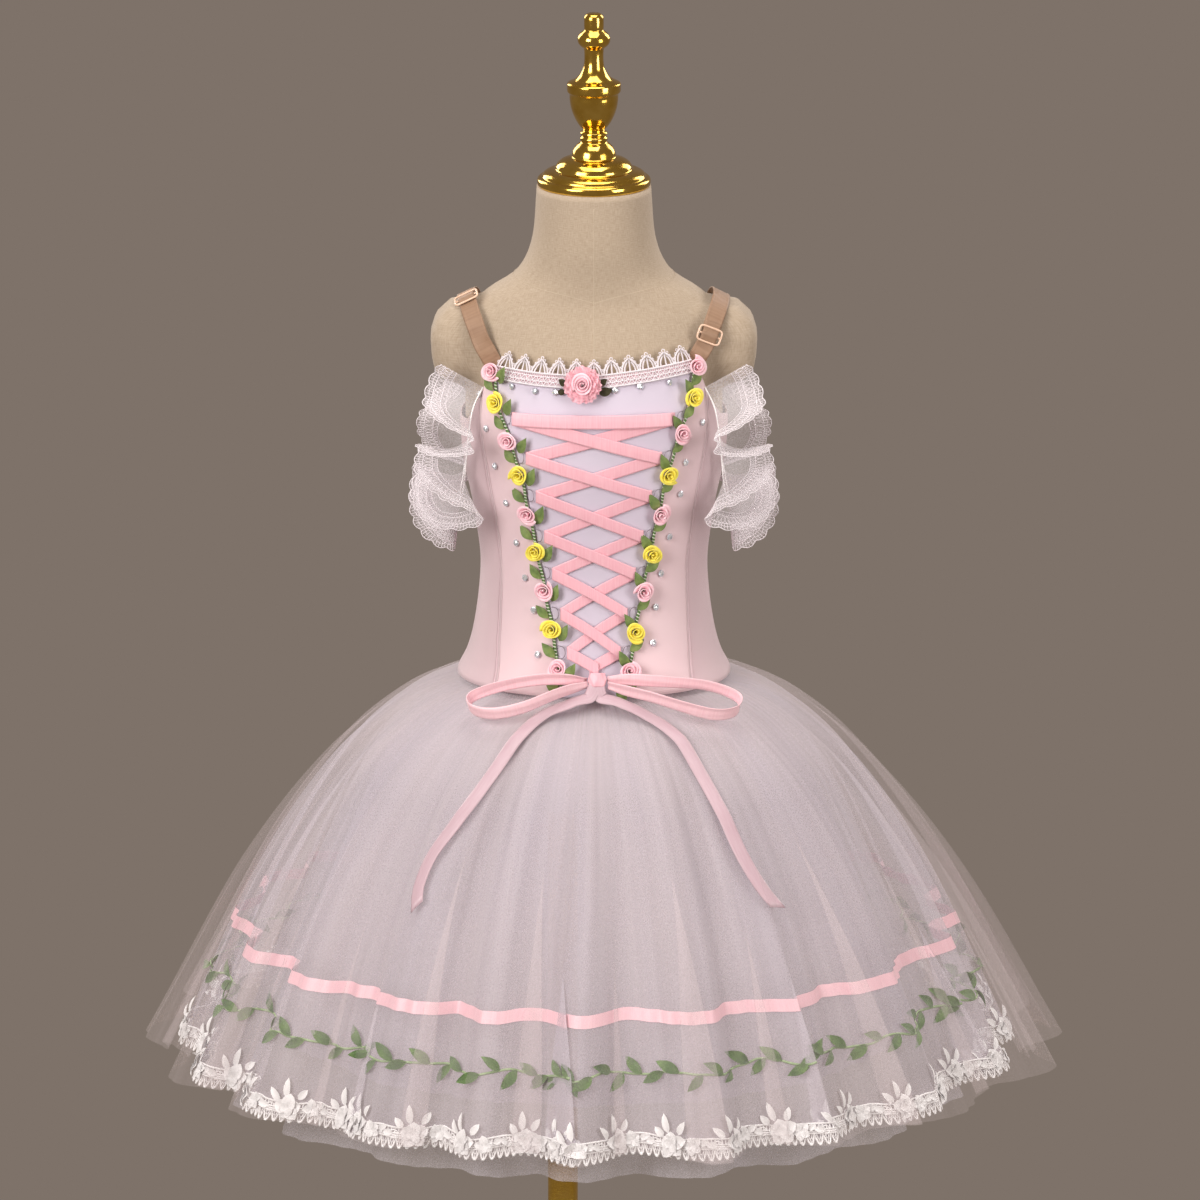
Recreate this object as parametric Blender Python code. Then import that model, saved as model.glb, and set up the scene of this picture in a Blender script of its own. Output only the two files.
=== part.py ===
"""Child's romantic ballet tutu on a limbless dress form with a turned brass stand.

Metres, +Z up, the front faces -Y. The origin is the centre of the stand's underside.
Shapes are worked out about the form's own axis; the empty "form_axis" carries them to their place.
A turn is an angle from the front, towards +X: x = r sin(turn), y = -r cos(turn).
"""

import bmesh
import bpy
import numpy as np

# ---------------------------------------------------------------- driving sizes
FORM_X = 0.026  # the form's axis lies this far to the right of the pole's
GAP = 0.0003  # clearance between pieces that touch
SECTION_POWER = 2.2  # 2 would make each body section a plain ellipse
ARM_POWER = 6.0  # the arm stumps' sections are nearly square
BLEND_POWER = 14  # how sharply the stumps run into the shoulders

POLE_RADIUS = 0.0125
BASE_THICKNESS = 0.020
NECK_TOP = 1.0086
FORM_BOTTOM = 0.500

BODICE_WALL = 0.0016
BODICE_RADIUS = 0.085  # a middling one, which turns a seam's clearance into an angle
NECK_LEVELS = (0.820, 0.862)  # heights at which the seams meet the two rows under the neck edge
TULLE_WALL = 0.0010
TRIM_WALL = 0.0010  # also of the vines, leaves, ribbons, straps and neck lace
TRIM_GAP = 0.0008  # a flat trim's clearance from the folded tulle under it
SATIN_WIDTH = 0.0110
FOLDS, NET_FOLDS, INNER_FOLDS = 20, 20, 16
COLUMNS_PER_FOLD, COLUMNS_PER_UNDER_FOLD = 4, 3
FOLD_UNEVEN = 0.30  # share by which the folds' depth varies round the skirt
# Uneven spacing of the folds: size, waves round the skirt, start
FOLD_SHIFTS = ((0.9, 3, 0.5), (0.6, 7, 2.0))

# Weighted base, from its foot up to the pole: radius, height
BASE_PROFILE = np.array([
    (0.137, 0.0), (0.140, 0.003), (0.140, 0.010), (0.128, 0.016), (0.063, 0.018),
    (0.030, BASE_THICKNESS),
])

# Dress form: height, half width, half depth, arm half width, arm half depth
FORM_SECTIONS = np.array([
    (0.5000, 0.0940, 0.0770, 0.0, 0.0),
    (0.5300, 0.1000, 0.0815, 0.0, 0.0),
    (0.5700, 0.0990, 0.0800, 0.0, 0.0),
    (0.6020, 0.0960, 0.0760, 0.0, 0.0),
    (0.6400, 0.0910, 0.0715, 0.0, 0.0),
    (0.6700, 0.0903, 0.0715, 0.0, 0.0),
    (0.7050, 0.0903, 0.0713, 0.0, 0.0),
    (0.7450, 0.0963, 0.0741, 0.0, 0.0),
    (0.7850, 0.1040, 0.0770, 0.0, 0.0),
    (0.8260, 0.1048, 0.0735, 0.0, 0.0),
    (0.8380, 0.1045, 0.0708, 0.0, 0.0),
    (0.8460, 0.1040, 0.0688, 0.1180, 0.0180),
    (0.8560, 0.1033, 0.0665, 0.1290, 0.0290),
    (0.8700, 0.1022, 0.0630, 0.1318, 0.0330),
    (0.8860, 0.1010, 0.0580, 0.1328, 0.0340),
    (0.9000, 0.1000, 0.0530, 0.1285, 0.0310),
    (0.9120, 0.0960, 0.0485, 0.1160, 0.0250),
    (0.9220, 0.0860, 0.0460, 0.0, 0.0),
    (0.9380, 0.0625, 0.0460, 0.0, 0.0),
    (0.9645, 0.0503, 0.0480, 0.0, 0.0),
    (NECK_TOP, 0.0463, 0.0463, 0.0, 0.0),
])

# Bodice, outer face: height, half width, half depth
BODICE_SECTIONS = np.array([
    (0.6020, 0.1130, 0.0905),
    (0.6175, 0.1050, 0.0840),
    (0.6400, 0.0988, 0.0790),
    (0.6700, 0.0942, 0.0752),
    (0.7050, 0.0932, 0.0742),
    (0.7450, 0.0992, 0.0770),
    (0.7850, 0.1070, 0.0800),
    (0.8260, 0.1098, 0.0782),
    (0.8660, 0.1080, 0.0690),
])

# Top edge of the bodice: turn in degrees, height
NECK_EDGE = np.array([
    (0, 0.8590), (35, 0.8625), (61, 0.8665), (65, 0.8480), (69, 0.8320), (74, 0.8230),
    (90, 0.8190), (105, 0.8230), (112, 0.8320), (122, 0.8400), (180, 0.8420),
])
NECK_TILT = 0.0030  # the edge stands this much higher at the right side, lower at the left

# Seam between the centre front and the side front, under the rose vine: height, x
PRINCESS_SEAM = np.array([
    (0.6020, 0.0255), (0.6205, 0.0278), (0.6540, 0.0328), (0.6870, 0.0390), (0.7190, 0.0455),
    (0.7520, 0.0518), (0.7850, 0.0585), (0.8155, 0.0680), (0.8435, 0.0780), (0.8700, 0.0802),
])

# Seam between the side front and the side: height, turn in degrees
SIDE_FRONT_SEAM = np.array([
    (0.6020, 51.0), (0.6400, 56.0), (0.6700, 58.0), (0.7450, 58.5), (0.7850, 60.0),
    (0.8200, 63.0), (0.8660, 67.0),
])
SIDE_BACK_TURN = 122.0

# Skirt layers: half width, height, depth over width, fold depth each way, roundness of the section
SKIRT_ROWS = np.array([
    (0.0975, 0.6280, 0.795, 0.0000, 2.2),
    (0.1070, 0.5985, 0.795, 0.0000, 2.2),
    (0.1235, 0.5930, 0.820, 0.0004, 2.2),
    (0.1600, 0.5735, 0.870, 0.0018, 2.1),
    (0.2130, 0.5230, 0.915, 0.0048, 2.0),
    (0.2705, 0.4300, 0.940, 0.0085, 2.0),
    (0.3330, 0.2850, 0.938, 0.0120, 2.0),
])
NET_ROWS = np.array([
    (0.0960, 0.6280, 0.795, 0.0000, 2.2),
    (0.1045, 0.5970, 0.795, 0.0000, 2.2),
    (0.1205, 0.5890, 0.820, 0.0000, 2.2),
    (0.1840, 0.5300, 0.890, 0.0020, 2.0),
    (0.3010, 0.2560, 0.950, 0.0080, 2.0),
])
INNER_ROWS = np.array([
    (0.0944, 0.6280, 0.795, 0.0000, 2.2),
    (0.1015, 0.5950, 0.795, 0.0000, 2.2),
    (0.1170, 0.5850, 0.820, 0.0000, 2.2),
    (0.1700, 0.5300, 0.880, 0.0010, 2.0),
    (0.2600, 0.3050, 0.950, 0.0030, 2.0),
])
# Overlay's clearance from the trimmed tulle, and how much more it stands off at the left and right
OVERLAY_ROWS = np.array([
    (0.0003, 0.000, 0.000), (0.0003, 0.000, 0.000), (0.0008, 0.001, 0.008), (0.0018, 0.003, 0.010),
    (0.0040, 0.003, 0.009), (0.0060, 0.008, 0.018), (0.0075, 0.013, 0.032),
])
PROUD_FOLD = 0.012  # and where one of its folds stands up at the hem

# Trims on the trimmed tulle: way up from its hem, at every other column in turn
FACET_RISE = 0.145  # height of the lowest row of facets, which the trims lie on
RIBBON_LOW, RIBBON_HIGH = (0.096, 0.096), (0.106, 0.106)
SKIRT_VINE_LOW, SKIRT_VINE_HIGH = (0.052, 0.058), (0.062, 0.068)
HEM_LACE_LOW, HEM_LACE_HIGH = (-0.007, -0.007), (0.014, 0.032)

# Turned cap and finial, outer face from top to bottom: radius, height
FINIAL_PROFILE = np.array([
    (0.0045, 1.1505), (0.0080, 1.1470), (0.0080, 1.1375), (0.0105, 1.1350), (0.0133, 1.1295),
    (0.0105, 1.1235), (0.0079, 1.1210), (0.0079, 1.1090), (0.0120, 1.0995), (0.0217, 1.0935),
    (0.0217, 1.0855), (0.0198, 1.0835), (0.0186, 1.0720), (0.0150, 1.0630), (0.0082, 1.0545),
    (0.0110, 1.0530), (0.0110, 1.0450), (0.0170, 1.0385), (0.0180, 1.0335), (0.0290, 1.0290),
    (0.0315, 1.0225), (0.0415, 1.0190), (0.0460, 1.0135), (0.0455, 1.0090),
])

# Neck lace: its heights are measured up from the neck edge
LACE_POINTS = 14
LACE_TURN = 55.0  # degrees that it reaches each way from the front
LACE_FOOT = 0.0030  # below the edge
LACE_CLEAR = 0.0011  # off the bodice
LACE_MIDDLE = 0.0050
LACE_POINT, LACE_DIP = 0.0165, 0.0105
LACE_LEAN = 0.36  # how far it leans in for each unit that it stands up

# Rose vine on each side of the front
# Height of each rose on the left and on the right
ROSE_HEIGHTS = np.array([
    (0.8655, 0.8700), (0.8410, 0.8450), (0.8115, 0.8180), (0.7845, 0.7850), (0.7520, 0.7520),
    (0.7205, 0.7180), (0.6875, 0.6865), (0.6555, 0.6535), (0.6240, 0.6225),
])
VINE_TOP = 0.8510
VINE_BOTTOM = 0.6065
LEAF_STEPS = 52
VINE_CLEAR = 2 * GAP  # off the bodice
ROSE_RADIUS = 0.0083
ROSE_HEIGHT = 0.0070
ROSE_SEAT = 0.0016  # off the vine
ROSE_LOBES = 0.10  # share by which a rose's edge goes in and out
# Rings of a rose: share of its radius at a share of its height
ROSE_SPREAD = ((0.80, 0.0), (1.00, 0.45), (0.50, 1.0))
# Six steps of the vine: reach of its edge towards the front and towards the side, and its rise
VINE_INNER = np.array([0.0018, 0.0050, 0.0078, 0.0040, 0.0018, 0.0018])
VINE_OUTER = np.array([0.0018, 0.0018, 0.0018, 0.0050, 0.0085, 0.0040])
VINE_RISE = np.array([0.0, 0.0010, 0.0022, 0.0, 0.0, 0.0])

# Large rose at the neck edge
BIG_ROSE_TURN = -0.127  # radians, a little left of the centre
BIG_ROSE_LEVEL = 0.8590
BIG_ROSE_LIFT = 0.0036
BIG_ROSE_RADIUS, BIG_ROSE_HEIGHT = 0.0155, 0.0110
BIG_LEAF_TURNS = np.array([0.211, 0.282, 0.352])  # from the rose's centre, root to tip
BIG_LEAF_HALF = np.array([0.0012, 0.0036, 0.0008])  # half width, root to tip
BIG_LEAF_DROP = 0.0056  # below the rose's centre
BIG_LEAF_LIFT = 0.0022

# Ribbon lacing: height of each turn
LACING_HEIGHTS = (0.8300, 0.7990, 0.7675, 0.7335, 0.7020, 0.6685, 0.6370)
LACING_WIDTH = 0.0105
LACING_INSET = 0.0098  # from the princess seam to the turn of the ribbon
LACING_LIFTS = (0.0015, 0.0034, 0.0053)  # off the bodice: a run under, a run over, the top bar
LACING_END = 0.6235  # where the last run ends, behind the bow
LACING_REACH = 0.2  # and how far over it gets, as a share of the way across

# Strap centre line on the right side, from inside the front edge to inside the back: x, y, height
STRAP_ROUTE = np.array([
    (0.0813, -0.0460, 0.8590), (0.0806, -0.0451, 0.8680), (0.0850, -0.0446, 0.8775),
    (0.0910, -0.0420, 0.8880), (0.0960, -0.0375, 0.9010), (0.1005, -0.0280, 0.9120),
    (0.1035, -0.0100, 0.9185), (0.1030, 0.0100, 0.9180), (0.1000, 0.0290, 0.9110),
    (0.0945, 0.0425, 0.8940), (0.0880, 0.0485, 0.8680), (0.0828, 0.0494, 0.8480),
    (0.0814, 0.0485, 0.8340),
])
STRAP_WIDTH = 0.0150
STRAP_HUB = np.array([0.045, 0.0, 0.800])  # the right strap faces away from this point
SLIDER_WIRE = 0.0014  # thickness of a strap slider
SLIDER_CLEAR = 2.5 * GAP  # off its strap
# Edges of the slider's bars, across the strap and along it
SLIDER_ACROSS = np.array([-0.0100, -0.0082, 0.0082, 0.0100])
SLIDER_ALONG = np.array([-0.0065, -0.0047, -0.0009, 0.0009, 0.0047, 0.0065])
SLIDER_STEPS = 61  # steps of the strap that the next two places are counted in
SLIDER_RIGHT, SLIDER_LEFT = 11, 22

# Lace sleeve, line it is gathered on: x, y, height, outward reach (x, y, z) of the lace
SLEEVE_ROUTE = np.array([
    (0.0900, -0.0449, 0.8510, 0.85, -0.30, 0.25),
    (0.0985, -0.0530, 0.8330, 0.80, -0.50, -0.05),
    (0.1030, -0.0510, 0.8000, 0.70, -0.50, -0.45),
    (0.1060, -0.0390, 0.7660, 0.70, -0.43, -0.55),
    (0.1095, -0.0130, 0.7480, 0.88, -0.15, -0.42),
    (0.1095, 0.0130, 0.7480, 0.88, 0.15, -0.42),
    (0.1060, 0.0390, 0.7660, 0.70, 0.43, -0.55),
    (0.1030, 0.0540, 0.7980, 0.70, 0.50, -0.40),
    (0.0894, 0.0478, 0.8250, 0.70, 0.50, -0.40),
])
SLEEVE_DEPTH = 0.0420
SLEEVE_WAVES = 5
SLEEVE_SWING = 62.0  # degrees that the lace swings each way
SLEEVE_EASE = (8.0, 4.0)  # how fast the swing grows from the front end and from the back end

# Bow loop, centre line of the standing ribbon: x, y, height
LOOP_ROUTE = np.array([
    (0.0083, -0.0915, 0.6170), (0.0250, -0.1005, 0.6200), (0.0500, -0.1040, 0.6205),
    (0.0750, -0.1010, 0.6165), (0.0950, -0.0970, 0.6085), (0.1045, -0.0985, 0.6018),
    (0.1010, -0.1090, 0.5965), (0.0850, -0.1180, 0.5968), (0.0600, -0.1190, 0.6030),
    (0.0350, -0.1110, 0.6100), (0.0083, -0.0960, 0.6150),
])
LOOP_UPRIGHT = np.array([0.0, -0.35, 0.94])  # the way the loops' standing ribbon leans
BOW_X = 0.0029  # the knot sits this far right of the form's axis
RIGHT_LOOP_STRETCH = 1.12  # the right loop is pulled out this much longer
KNOT_RADIUS, KNOT_HEIGHT = 0.0079, 0.0090
KNOT_TURN = 0.0306  # radians
KNOT_LIFT = 0.0052  # clear of the lacing's last crossing
# Bow tails on the skirt: turn left and right in degrees, height, lift off the skirt
TAIL_ROUTE = np.array([
    (3.0, 4.0, 0.5962, 0.0108), (10.0, 12.0, 0.5940, 0.0090), (20.0, 20.5, 0.5900, 0.0046),
    (25.5, 28.0, 0.5790, 0.0024), (28.5, 30.0, 0.5550, 0.0021), (31.5, 31.0, 0.5250, 0.0021),
    (34.5, 32.0, 0.4980, 0.0021), (35.0, 33.5, 0.4750, 0.0021), (34.0, 35.0, 0.4600, 0.0021),
])


# ---------------------------------------------------------------- materials
def material(name, colour, roughness, metallic=0.0):
    made = bpy.data.materials.new(name)
    made.use_nodes = True
    shader = made.node_tree.nodes["Principled BSDF"]
    shader.inputs["Base Color"].default_value = (*colour, 1.0)
    shader.inputs["Roughness"].default_value = roughness
    shader.inputs["Metallic"].default_value = metallic
    made.diffuse_color = (*colour, 1.0)
    return made


def make_materials():
    return {
        "linen": material("linen", (0.72, 0.61, 0.47), 0.9),
        "brass": material("brass", (0.75, 0.52, 0.14), 0.2, 1.0),
        "satin": material("satin", (0.93, 0.50, 0.56), 0.45),
        "pink_knit": material("pink_knit", (0.74, 0.55, 0.57), 0.8),
        "lilac_knit": material("lilac_knit", (0.72, 0.66, 0.75), 0.8),
        "tulle": material("tulle", (0.80, 0.68, 0.69), 0.9),
        "lilac_tulle": material("lilac_tulle", (0.70, 0.66, 0.76), 0.9),
        "lace": material("lace", (0.86, 0.83, 0.83), 0.8),
        "leaf": material("leaf", (0.22, 0.34, 0.14), 0.7),
        "pink_rose": material("pink_rose", (0.92, 0.36, 0.45), 0.6),
        "yellow_rose": material("yellow_rose", (0.90, 0.80, 0.12), 0.6),
        "strap": material("strap", (0.62, 0.42, 0.30), 0.5),
    }


# ---------------------------------------------------------------- mesh helpers
def new_solid(name, points, faces, finish, parent, smooth=True):
    """One closed body from points and faces, turned so that its faces point out."""
    mesh = bpy.data.meshes.new(name)
    mesh.from_pydata(np.asarray(points).tolist(), [], faces)
    work = bmesh.new()
    work.from_mesh(mesh)
    if work.calc_volume(signed=True) < 0:
        bmesh.ops.reverse_faces(work, faces=work.faces)
    work.to_mesh(mesh)
    work.free()
    mesh.materials.append(finish)
    if smooth:
        mesh.shade_smooth()
        mesh.set_sharp_from_angle(angle=np.radians(40))
    made = bpy.data.objects.new(name, mesh)
    bpy.context.collection.objects.link(made)
    made.parent = parent
    return made


def grid_faces(rows, columns, wrap, start=0, flip=False):
    """Triangles of a grid, all cut along the same diagonal so that two walls never cross."""
    faces = []
    for row in range(rows - 1):
        for column in range(columns if wrap else columns - 1):
            right = (column + 1) % columns
            a, b = start + row * columns + column, start + row * columns + right
            c, d = b + columns, a + columns
            faces += [[c, b, a], [d, c, a]] if flip else [[a, b, c], [a, c, d]]
    return faces


def wall(name, outer, inner, finish, parent, wrap=False):
    """A closed wall between two grids of points, each rows x columns x 3."""
    rows, columns = outer.shape[:2]
    far = rows * columns
    faces = grid_faces(rows, columns, wrap) + grid_faces(rows, columns, wrap, far, flip=True)
    last = (rows - 1) * columns
    for column in range(columns if wrap else columns - 1):
        right = (column + 1) % columns
        faces.append([right, column, far + column, far + right])
        faces.append([last + column, last + right, far + last + right, far + last + column])
    if not wrap:
        for row in range(rows - 1):
            here, below = row * columns, (row + 1) * columns
            end, end_below = here + columns - 1, below + columns - 1
            faces.append([here, below, far + below, far + here])
            faces.append([end_below, end, far + end, far + end_below])
    points = np.concatenate([outer.reshape(-1, 3), inner.reshape(-1, 3)])
    return new_solid(name, points, faces, finish, parent)


def loft(name, rings, finish, parent):
    """A solid body through closed rings of points, with a flat face on the first and the last."""
    count, columns = rings.shape[:2]
    faces = grid_faces(count, columns, wrap=True)
    faces.append(list(range(columns))[::-1])
    faces.append([(count - 1) * columns + column for column in range(columns)])
    return new_solid(name, rings.reshape(-1, 3), faces, finish, parent)


def turned(name, profile, sides, finish, parent):
    """A solid turned about the vertical axis: profile rows are radius, height."""
    turn = np.linspace(0, 2 * np.pi, sides, endpoint=False)
    radius, height = profile[:, :1], profile[:, 1:2]
    rings = np.stack([radius * np.sin(turn), -radius * np.cos(turn), height + 0 * turn], -1)
    return loft(name, rings, finish, parent)


def unit(vectors):
    return vectors / np.linalg.norm(vectors, axis=-1, keepdims=True)


def grid_normals(grid, wrap):
    """Unit normals of a grid of points, from the differences to its neighbours."""
    down = np.gradient(grid, axis=0)
    if wrap:
        across = np.roll(grid, -1, axis=1) - np.roll(grid, 1, axis=1)
    else:
        across = np.gradient(grid, axis=1)
    return unit(np.cross(down, across))


def smooth_route(rows, count):
    """A Catmull-Rom curve through the rows of a table, sampled at even steps of its length."""
    padded = np.vstack([2 * rows[0] - rows[1], rows, 2 * rows[-1] - rows[-2]])
    way = np.linspace(0, len(rows) - 1, 400)
    start = np.minimum(way.astype(int), len(rows) - 2)
    part = (way - start)[:, None]
    a, b, c, d = (padded[start + shift] for shift in range(4))
    curve = 0.5 * (2 * b + (c - a) * part + (2 * a - 5 * b + 4 * c - d) * part**2
                   + (3 * b - a - 3 * c + d) * part**3)
    steps = np.linalg.norm(np.diff(curve[:, :3], axis=0), axis=1)
    along = np.concatenate([[0], np.cumsum(steps)])
    even = np.linspace(0, along[-1], count)
    return np.stack([np.interp(even, along, curve[:, k]) for k in range(rows.shape[1])], -1)


def strip(name, centre, across, thick, width, finish, parent):
    """A flat ribbon: centre line, unit directions across it and out of it, and its thickness."""
    edges = np.stack([centre - across * width / 2, centre + across * width / 2])
    half = np.broadcast_to(thick * TRIM_WALL / 2, edges.shape)
    return wall(name, edges + half, edges - half, finish, parent)


# ---------------------------------------------------------------- body sections
def section_radius(turn, half_width, half_depth, power=SECTION_POWER):
    """Distance from the axis to a rounded section, at an angle from the front."""
    return (np.abs(np.sin(turn) / half_width) ** power
            + np.abs(np.cos(turn) / half_depth) ** power) ** (-1 / power)


def around(turn, radius, height):
    return np.stack([radius * np.sin(turn), -radius * np.cos(turn), height + 0 * radius], -1)


def table_at(table, height, column):
    return np.interp(height, table[:, 0], table[:, column])


def bodice_radius(turn, height):
    return section_radius(turn, table_at(BODICE_SECTIONS, height, 1),
                          table_at(BODICE_SECTIONS, height, 2))


def bodice_point(turn, height, out=0.0):
    """A point of the bodice's outer face, moved out from the axis by a distance."""
    return around(turn, bodice_radius(turn, height) + out, height)


def bodice_turn(x, height):
    """The turn at which the bodice's front half has this x, at one height."""
    turns = np.radians(np.linspace(-90, 90, 361))
    return np.interp(x, bodice_radius(turns, height) * np.sin(turns), turns)


def make_form(finishes, parent):
    """Torso, shoulders with arm stumps, and neck as one rounded body."""
    turn = np.linspace(0, 2 * np.pi, 28, endpoint=False)
    rings = []
    for height, half_width, half_depth, arm_width, arm_depth in FORM_SECTIONS:
        radius = section_radius(turn, half_width, half_depth)
        if arm_width:
            arm = section_radius(turn, arm_width, arm_depth, power=ARM_POWER)
            radius = (radius**BLEND_POWER + arm**BLEND_POWER) ** (1 / BLEND_POWER)
        rings.append(around(turn, radius, height))
    loft("dress_form", np.array(rings), finishes["linen"], parent)


def make_stand(finishes, form_axis):
    """Neck cap with its finial, pole, and a plain weighted base."""
    turned("neck_cap", FINIAL_PROFILE[::-1], 14, finishes["brass"], form_axis)
    pole = np.array([(POLE_RADIUS, BASE_THICKNESS + GAP), (POLE_RADIUS, FORM_BOTTOM - GAP)])
    turned("pole", pole, 16, finishes["brass"], None)
    turned("base", BASE_PROFILE, 28, finishes["brass"], None)


# ---------------------------------------------------------------- bodice
def edge_height(turn):
    level = np.interp(np.degrees(np.abs(turn)), NECK_EDGE[:, 0], NECK_EDGE[:, 1])
    return level + NECK_TILT * np.sin(turn) * np.clip(np.cos(turn) * 3, 0, 1)


def princess_turn(height):
    """Turn of the right princess seam at each height."""
    return np.array([bodice_turn(table_at(PRINCESS_SEAM, z, 1), z) for z in np.atleast_1d(height)])


def side_front_turn(height):
    return np.radians(table_at(SIDE_FRONT_SEAM, np.atleast_1d(height), 1))


def side_back_turn(height):
    return np.full(np.size(height), np.radians(SIDE_BACK_TURN))


def centre_back_turn(height):
    return np.full(np.size(height), np.pi)


def panel_grid(from_edge, to_edge, columns, side=1):
    """Turns and heights of a panel: level rows, then two that lead up to the neck edge."""
    level = BODICE_SECTIONS[:7, 0]
    nominal = np.append(level, NECK_LEVELS)
    part = np.linspace(0, 1, columns + 1)
    start, end = from_edge(nominal)[:, None], to_edge(nominal)[:, None]
    seam = GAP / 2 / BODICE_RADIUS
    turn = side * ((start + seam) * (1 - part) + (end - seam) * part)
    height = np.repeat(nominal[:, None], columns + 1, axis=1)
    height[-2] = (level[-1] + edge_height(turn[-2])) / 2
    height[-1] = edge_height(turn[-1])
    return turn, height


def make_panel(name, turn, height, finish, parent):
    wall(name, bodice_point(turn, height), bodice_point(turn, height, -BODICE_WALL), finish, parent)


def make_bodice(finishes, parent):
    """Seven panels: centre front, then side front, side and back on each side."""
    turn, height = panel_grid(lambda z: -princess_turn(z), princess_turn, 8)
    make_panel("bodice_centre_front", turn, height, finishes["lilac_knit"], parent)
    panels = (
        ("side_front", princess_turn, side_front_turn, 3, "pink_knit"),
        ("side", side_front_turn, side_back_turn, 7, "pink_knit"),
        ("back", side_back_turn, centre_back_turn, 5, "pink_knit"),
    )
    for label, from_edge, to_edge, columns, finish in panels:
        for side, hand in ((1, "right"), (-1, "left")):
            turn, height = panel_grid(from_edge, to_edge, columns, side)
            make_panel(f"bodice_{label}_{hand}", turn, height, finishes[finish], parent)


def make_neck_lace(finishes, parent):
    """Pointed scallops that stand up from the front neck edge, with their foot on the bodice."""
    columns = 2 * LACE_POINTS + 1
    turn = np.radians(np.linspace(-LACE_TURN, LACE_TURN, columns))
    reach = np.where(np.arange(columns) % 2, LACE_POINT, LACE_DIP)
    edge = edge_height(turn)
    height = np.stack([edge - LACE_FOOT, edge + LACE_MIDDLE, edge + reach])
    turns = np.repeat(turn[None], 3, axis=0)
    low = np.minimum(height, BODICE_SECTIONS[-1, 0])
    radius = bodice_radius(turns, low) - np.maximum(height - edge, 0) * LACE_LEAN
    outer = around(turns, radius + LACE_CLEAR + TRIM_WALL, height)
    inner = around(turns, radius + LACE_CLEAR, height)
    wall("neck_lace", outer, inner, finishes["lace"], parent)


# ---------------------------------------------------------------- straps and sleeves
def mirrored(points):
    return points * np.array([-1.0, 1.0, 1.0])


def strap_frame(count):
    """Centre line of the right strap with its outward and its sideways direction."""
    centre = smooth_route(STRAP_ROUTE, count)
    ahead = unit(np.gradient(centre, axis=0))
    out = unit(centre - STRAP_HUB)
    out = unit(out - ahead * (out * ahead).sum(-1, keepdims=True))
    return centre, out, np.cross(ahead, out)


def make_straps(finishes, parent):
    centre, out, across = strap_frame(21)
    for side, flip in (("right", lambda p: p), ("left", mirrored)):
        strip(f"strap_{side}", flip(centre), flip(across), flip(out), STRAP_WIDTH,
              finishes["strap"], parent)


def make_slider(name, middle, across, along, out, flip, finish, parent):
    """A strap slider: a flat frame with a middle bar, so two windows."""
    solid = np.ones((len(SLIDER_ALONG) - 1, len(SLIDER_ACROSS) - 1), bool)
    solid[1, 1] = solid[3, 1] = False
    flat = middle + SLIDER_ACROSS[None, :, None] * across + SLIDER_ALONG[:, None, None] * along
    lift = TRIM_WALL / 2 + SLIDER_CLEAR
    low, high = flat + out * lift, flat + out * (lift + SLIDER_WIRE)
    number = lambda row, column, level: (row * 4 + column) + level * 24
    faces = []
    for row in range(5):
        for column in range(3):
            if not solid[row, column]:
                continue
            corners = [(row, column), (row, column + 1), (row + 1, column + 1), (row + 1, column)]
            faces.append([number(*corner, 1) for corner in corners])
            faces.append([number(*corner, 0) for corner in corners][::-1])
            beside = [(row - 1, column), (row, column + 1), (row + 1, column), (row, column - 1)]
            for edge, (other_row, other_column) in enumerate(beside):
                inside = 0 <= other_row < 5 and 0 <= other_column < 3
                if inside and solid[other_row, other_column]:
                    continue
                a, b = corners[edge], corners[(edge + 1) % 4]
                faces.append([number(*a, 0), number(*b, 0), number(*b, 1), number(*a, 1)])
    points = flip(np.concatenate([low.reshape(-1, 3), high.reshape(-1, 3)]))
    new_solid(name, points, faces, finish, parent, smooth=False)


def make_sliders(finishes, parent):
    """The right slider sits lower on its strap than the left one."""
    centre, out, across = strap_frame(SLIDER_STEPS)
    along = np.cross(out, across)
    places = (("right", SLIDER_RIGHT, lambda p: p), ("left", SLIDER_LEFT, mirrored))
    for side, place, flip in places:
        make_slider(f"slider_{side}", centre[place], across[place], along[place], out[place],
                    flip, finishes["strap"], parent)


def sleeve_grid(columns, rows):
    """Lace gathered on a hanging loop: its depth swings to and fro along the loop."""
    table = smooth_route(SLEEVE_ROUTE, columns)
    line, reach = table[:, :3], unit(table[:, 3:])
    ahead = unit(np.gradient(line, axis=0))
    reach = unit(reach - ahead * (reach * ahead).sum(-1, keepdims=True))
    beside = np.cross(ahead, reach)
    part = np.linspace(0, 1, columns)
    ease = np.clip(np.minimum(part * SLEEVE_EASE[0], (1 - part) * SLEEVE_EASE[1]), 0, 1)
    swing = -np.radians(SLEEVE_SWING) * ease * np.sin(2 * np.pi * SLEEVE_WAVES * part)
    fall = (reach * np.cos(swing)[:, None] + beside * np.sin(swing)[:, None])
    down = np.linspace(0, 1, rows)[:, None, None]
    return line + fall * down * SLEEVE_DEPTH


def make_sleeves(finishes, parent):
    outer = sleeve_grid(SLEEVE_WAVES * 8 + 1, 3)
    inner = outer - grid_normals(outer, wrap=False) * TULLE_WALL
    wall("sleeve_lace_right", outer, inner, finishes["lace"], parent)
    wall("sleeve_lace_left", mirrored(outer), mirrored(inner), finishes["lace"], parent)


# ---------------------------------------------------------------- skirt
def fold_phase(turn, folds):
    """Uneven spacing of the folds round the skirt."""
    shifts = (size * np.sin(waves * turn + start) for size, waves, start in FOLD_SHIFTS)
    return folds * turn + sum(shifts)


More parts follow.
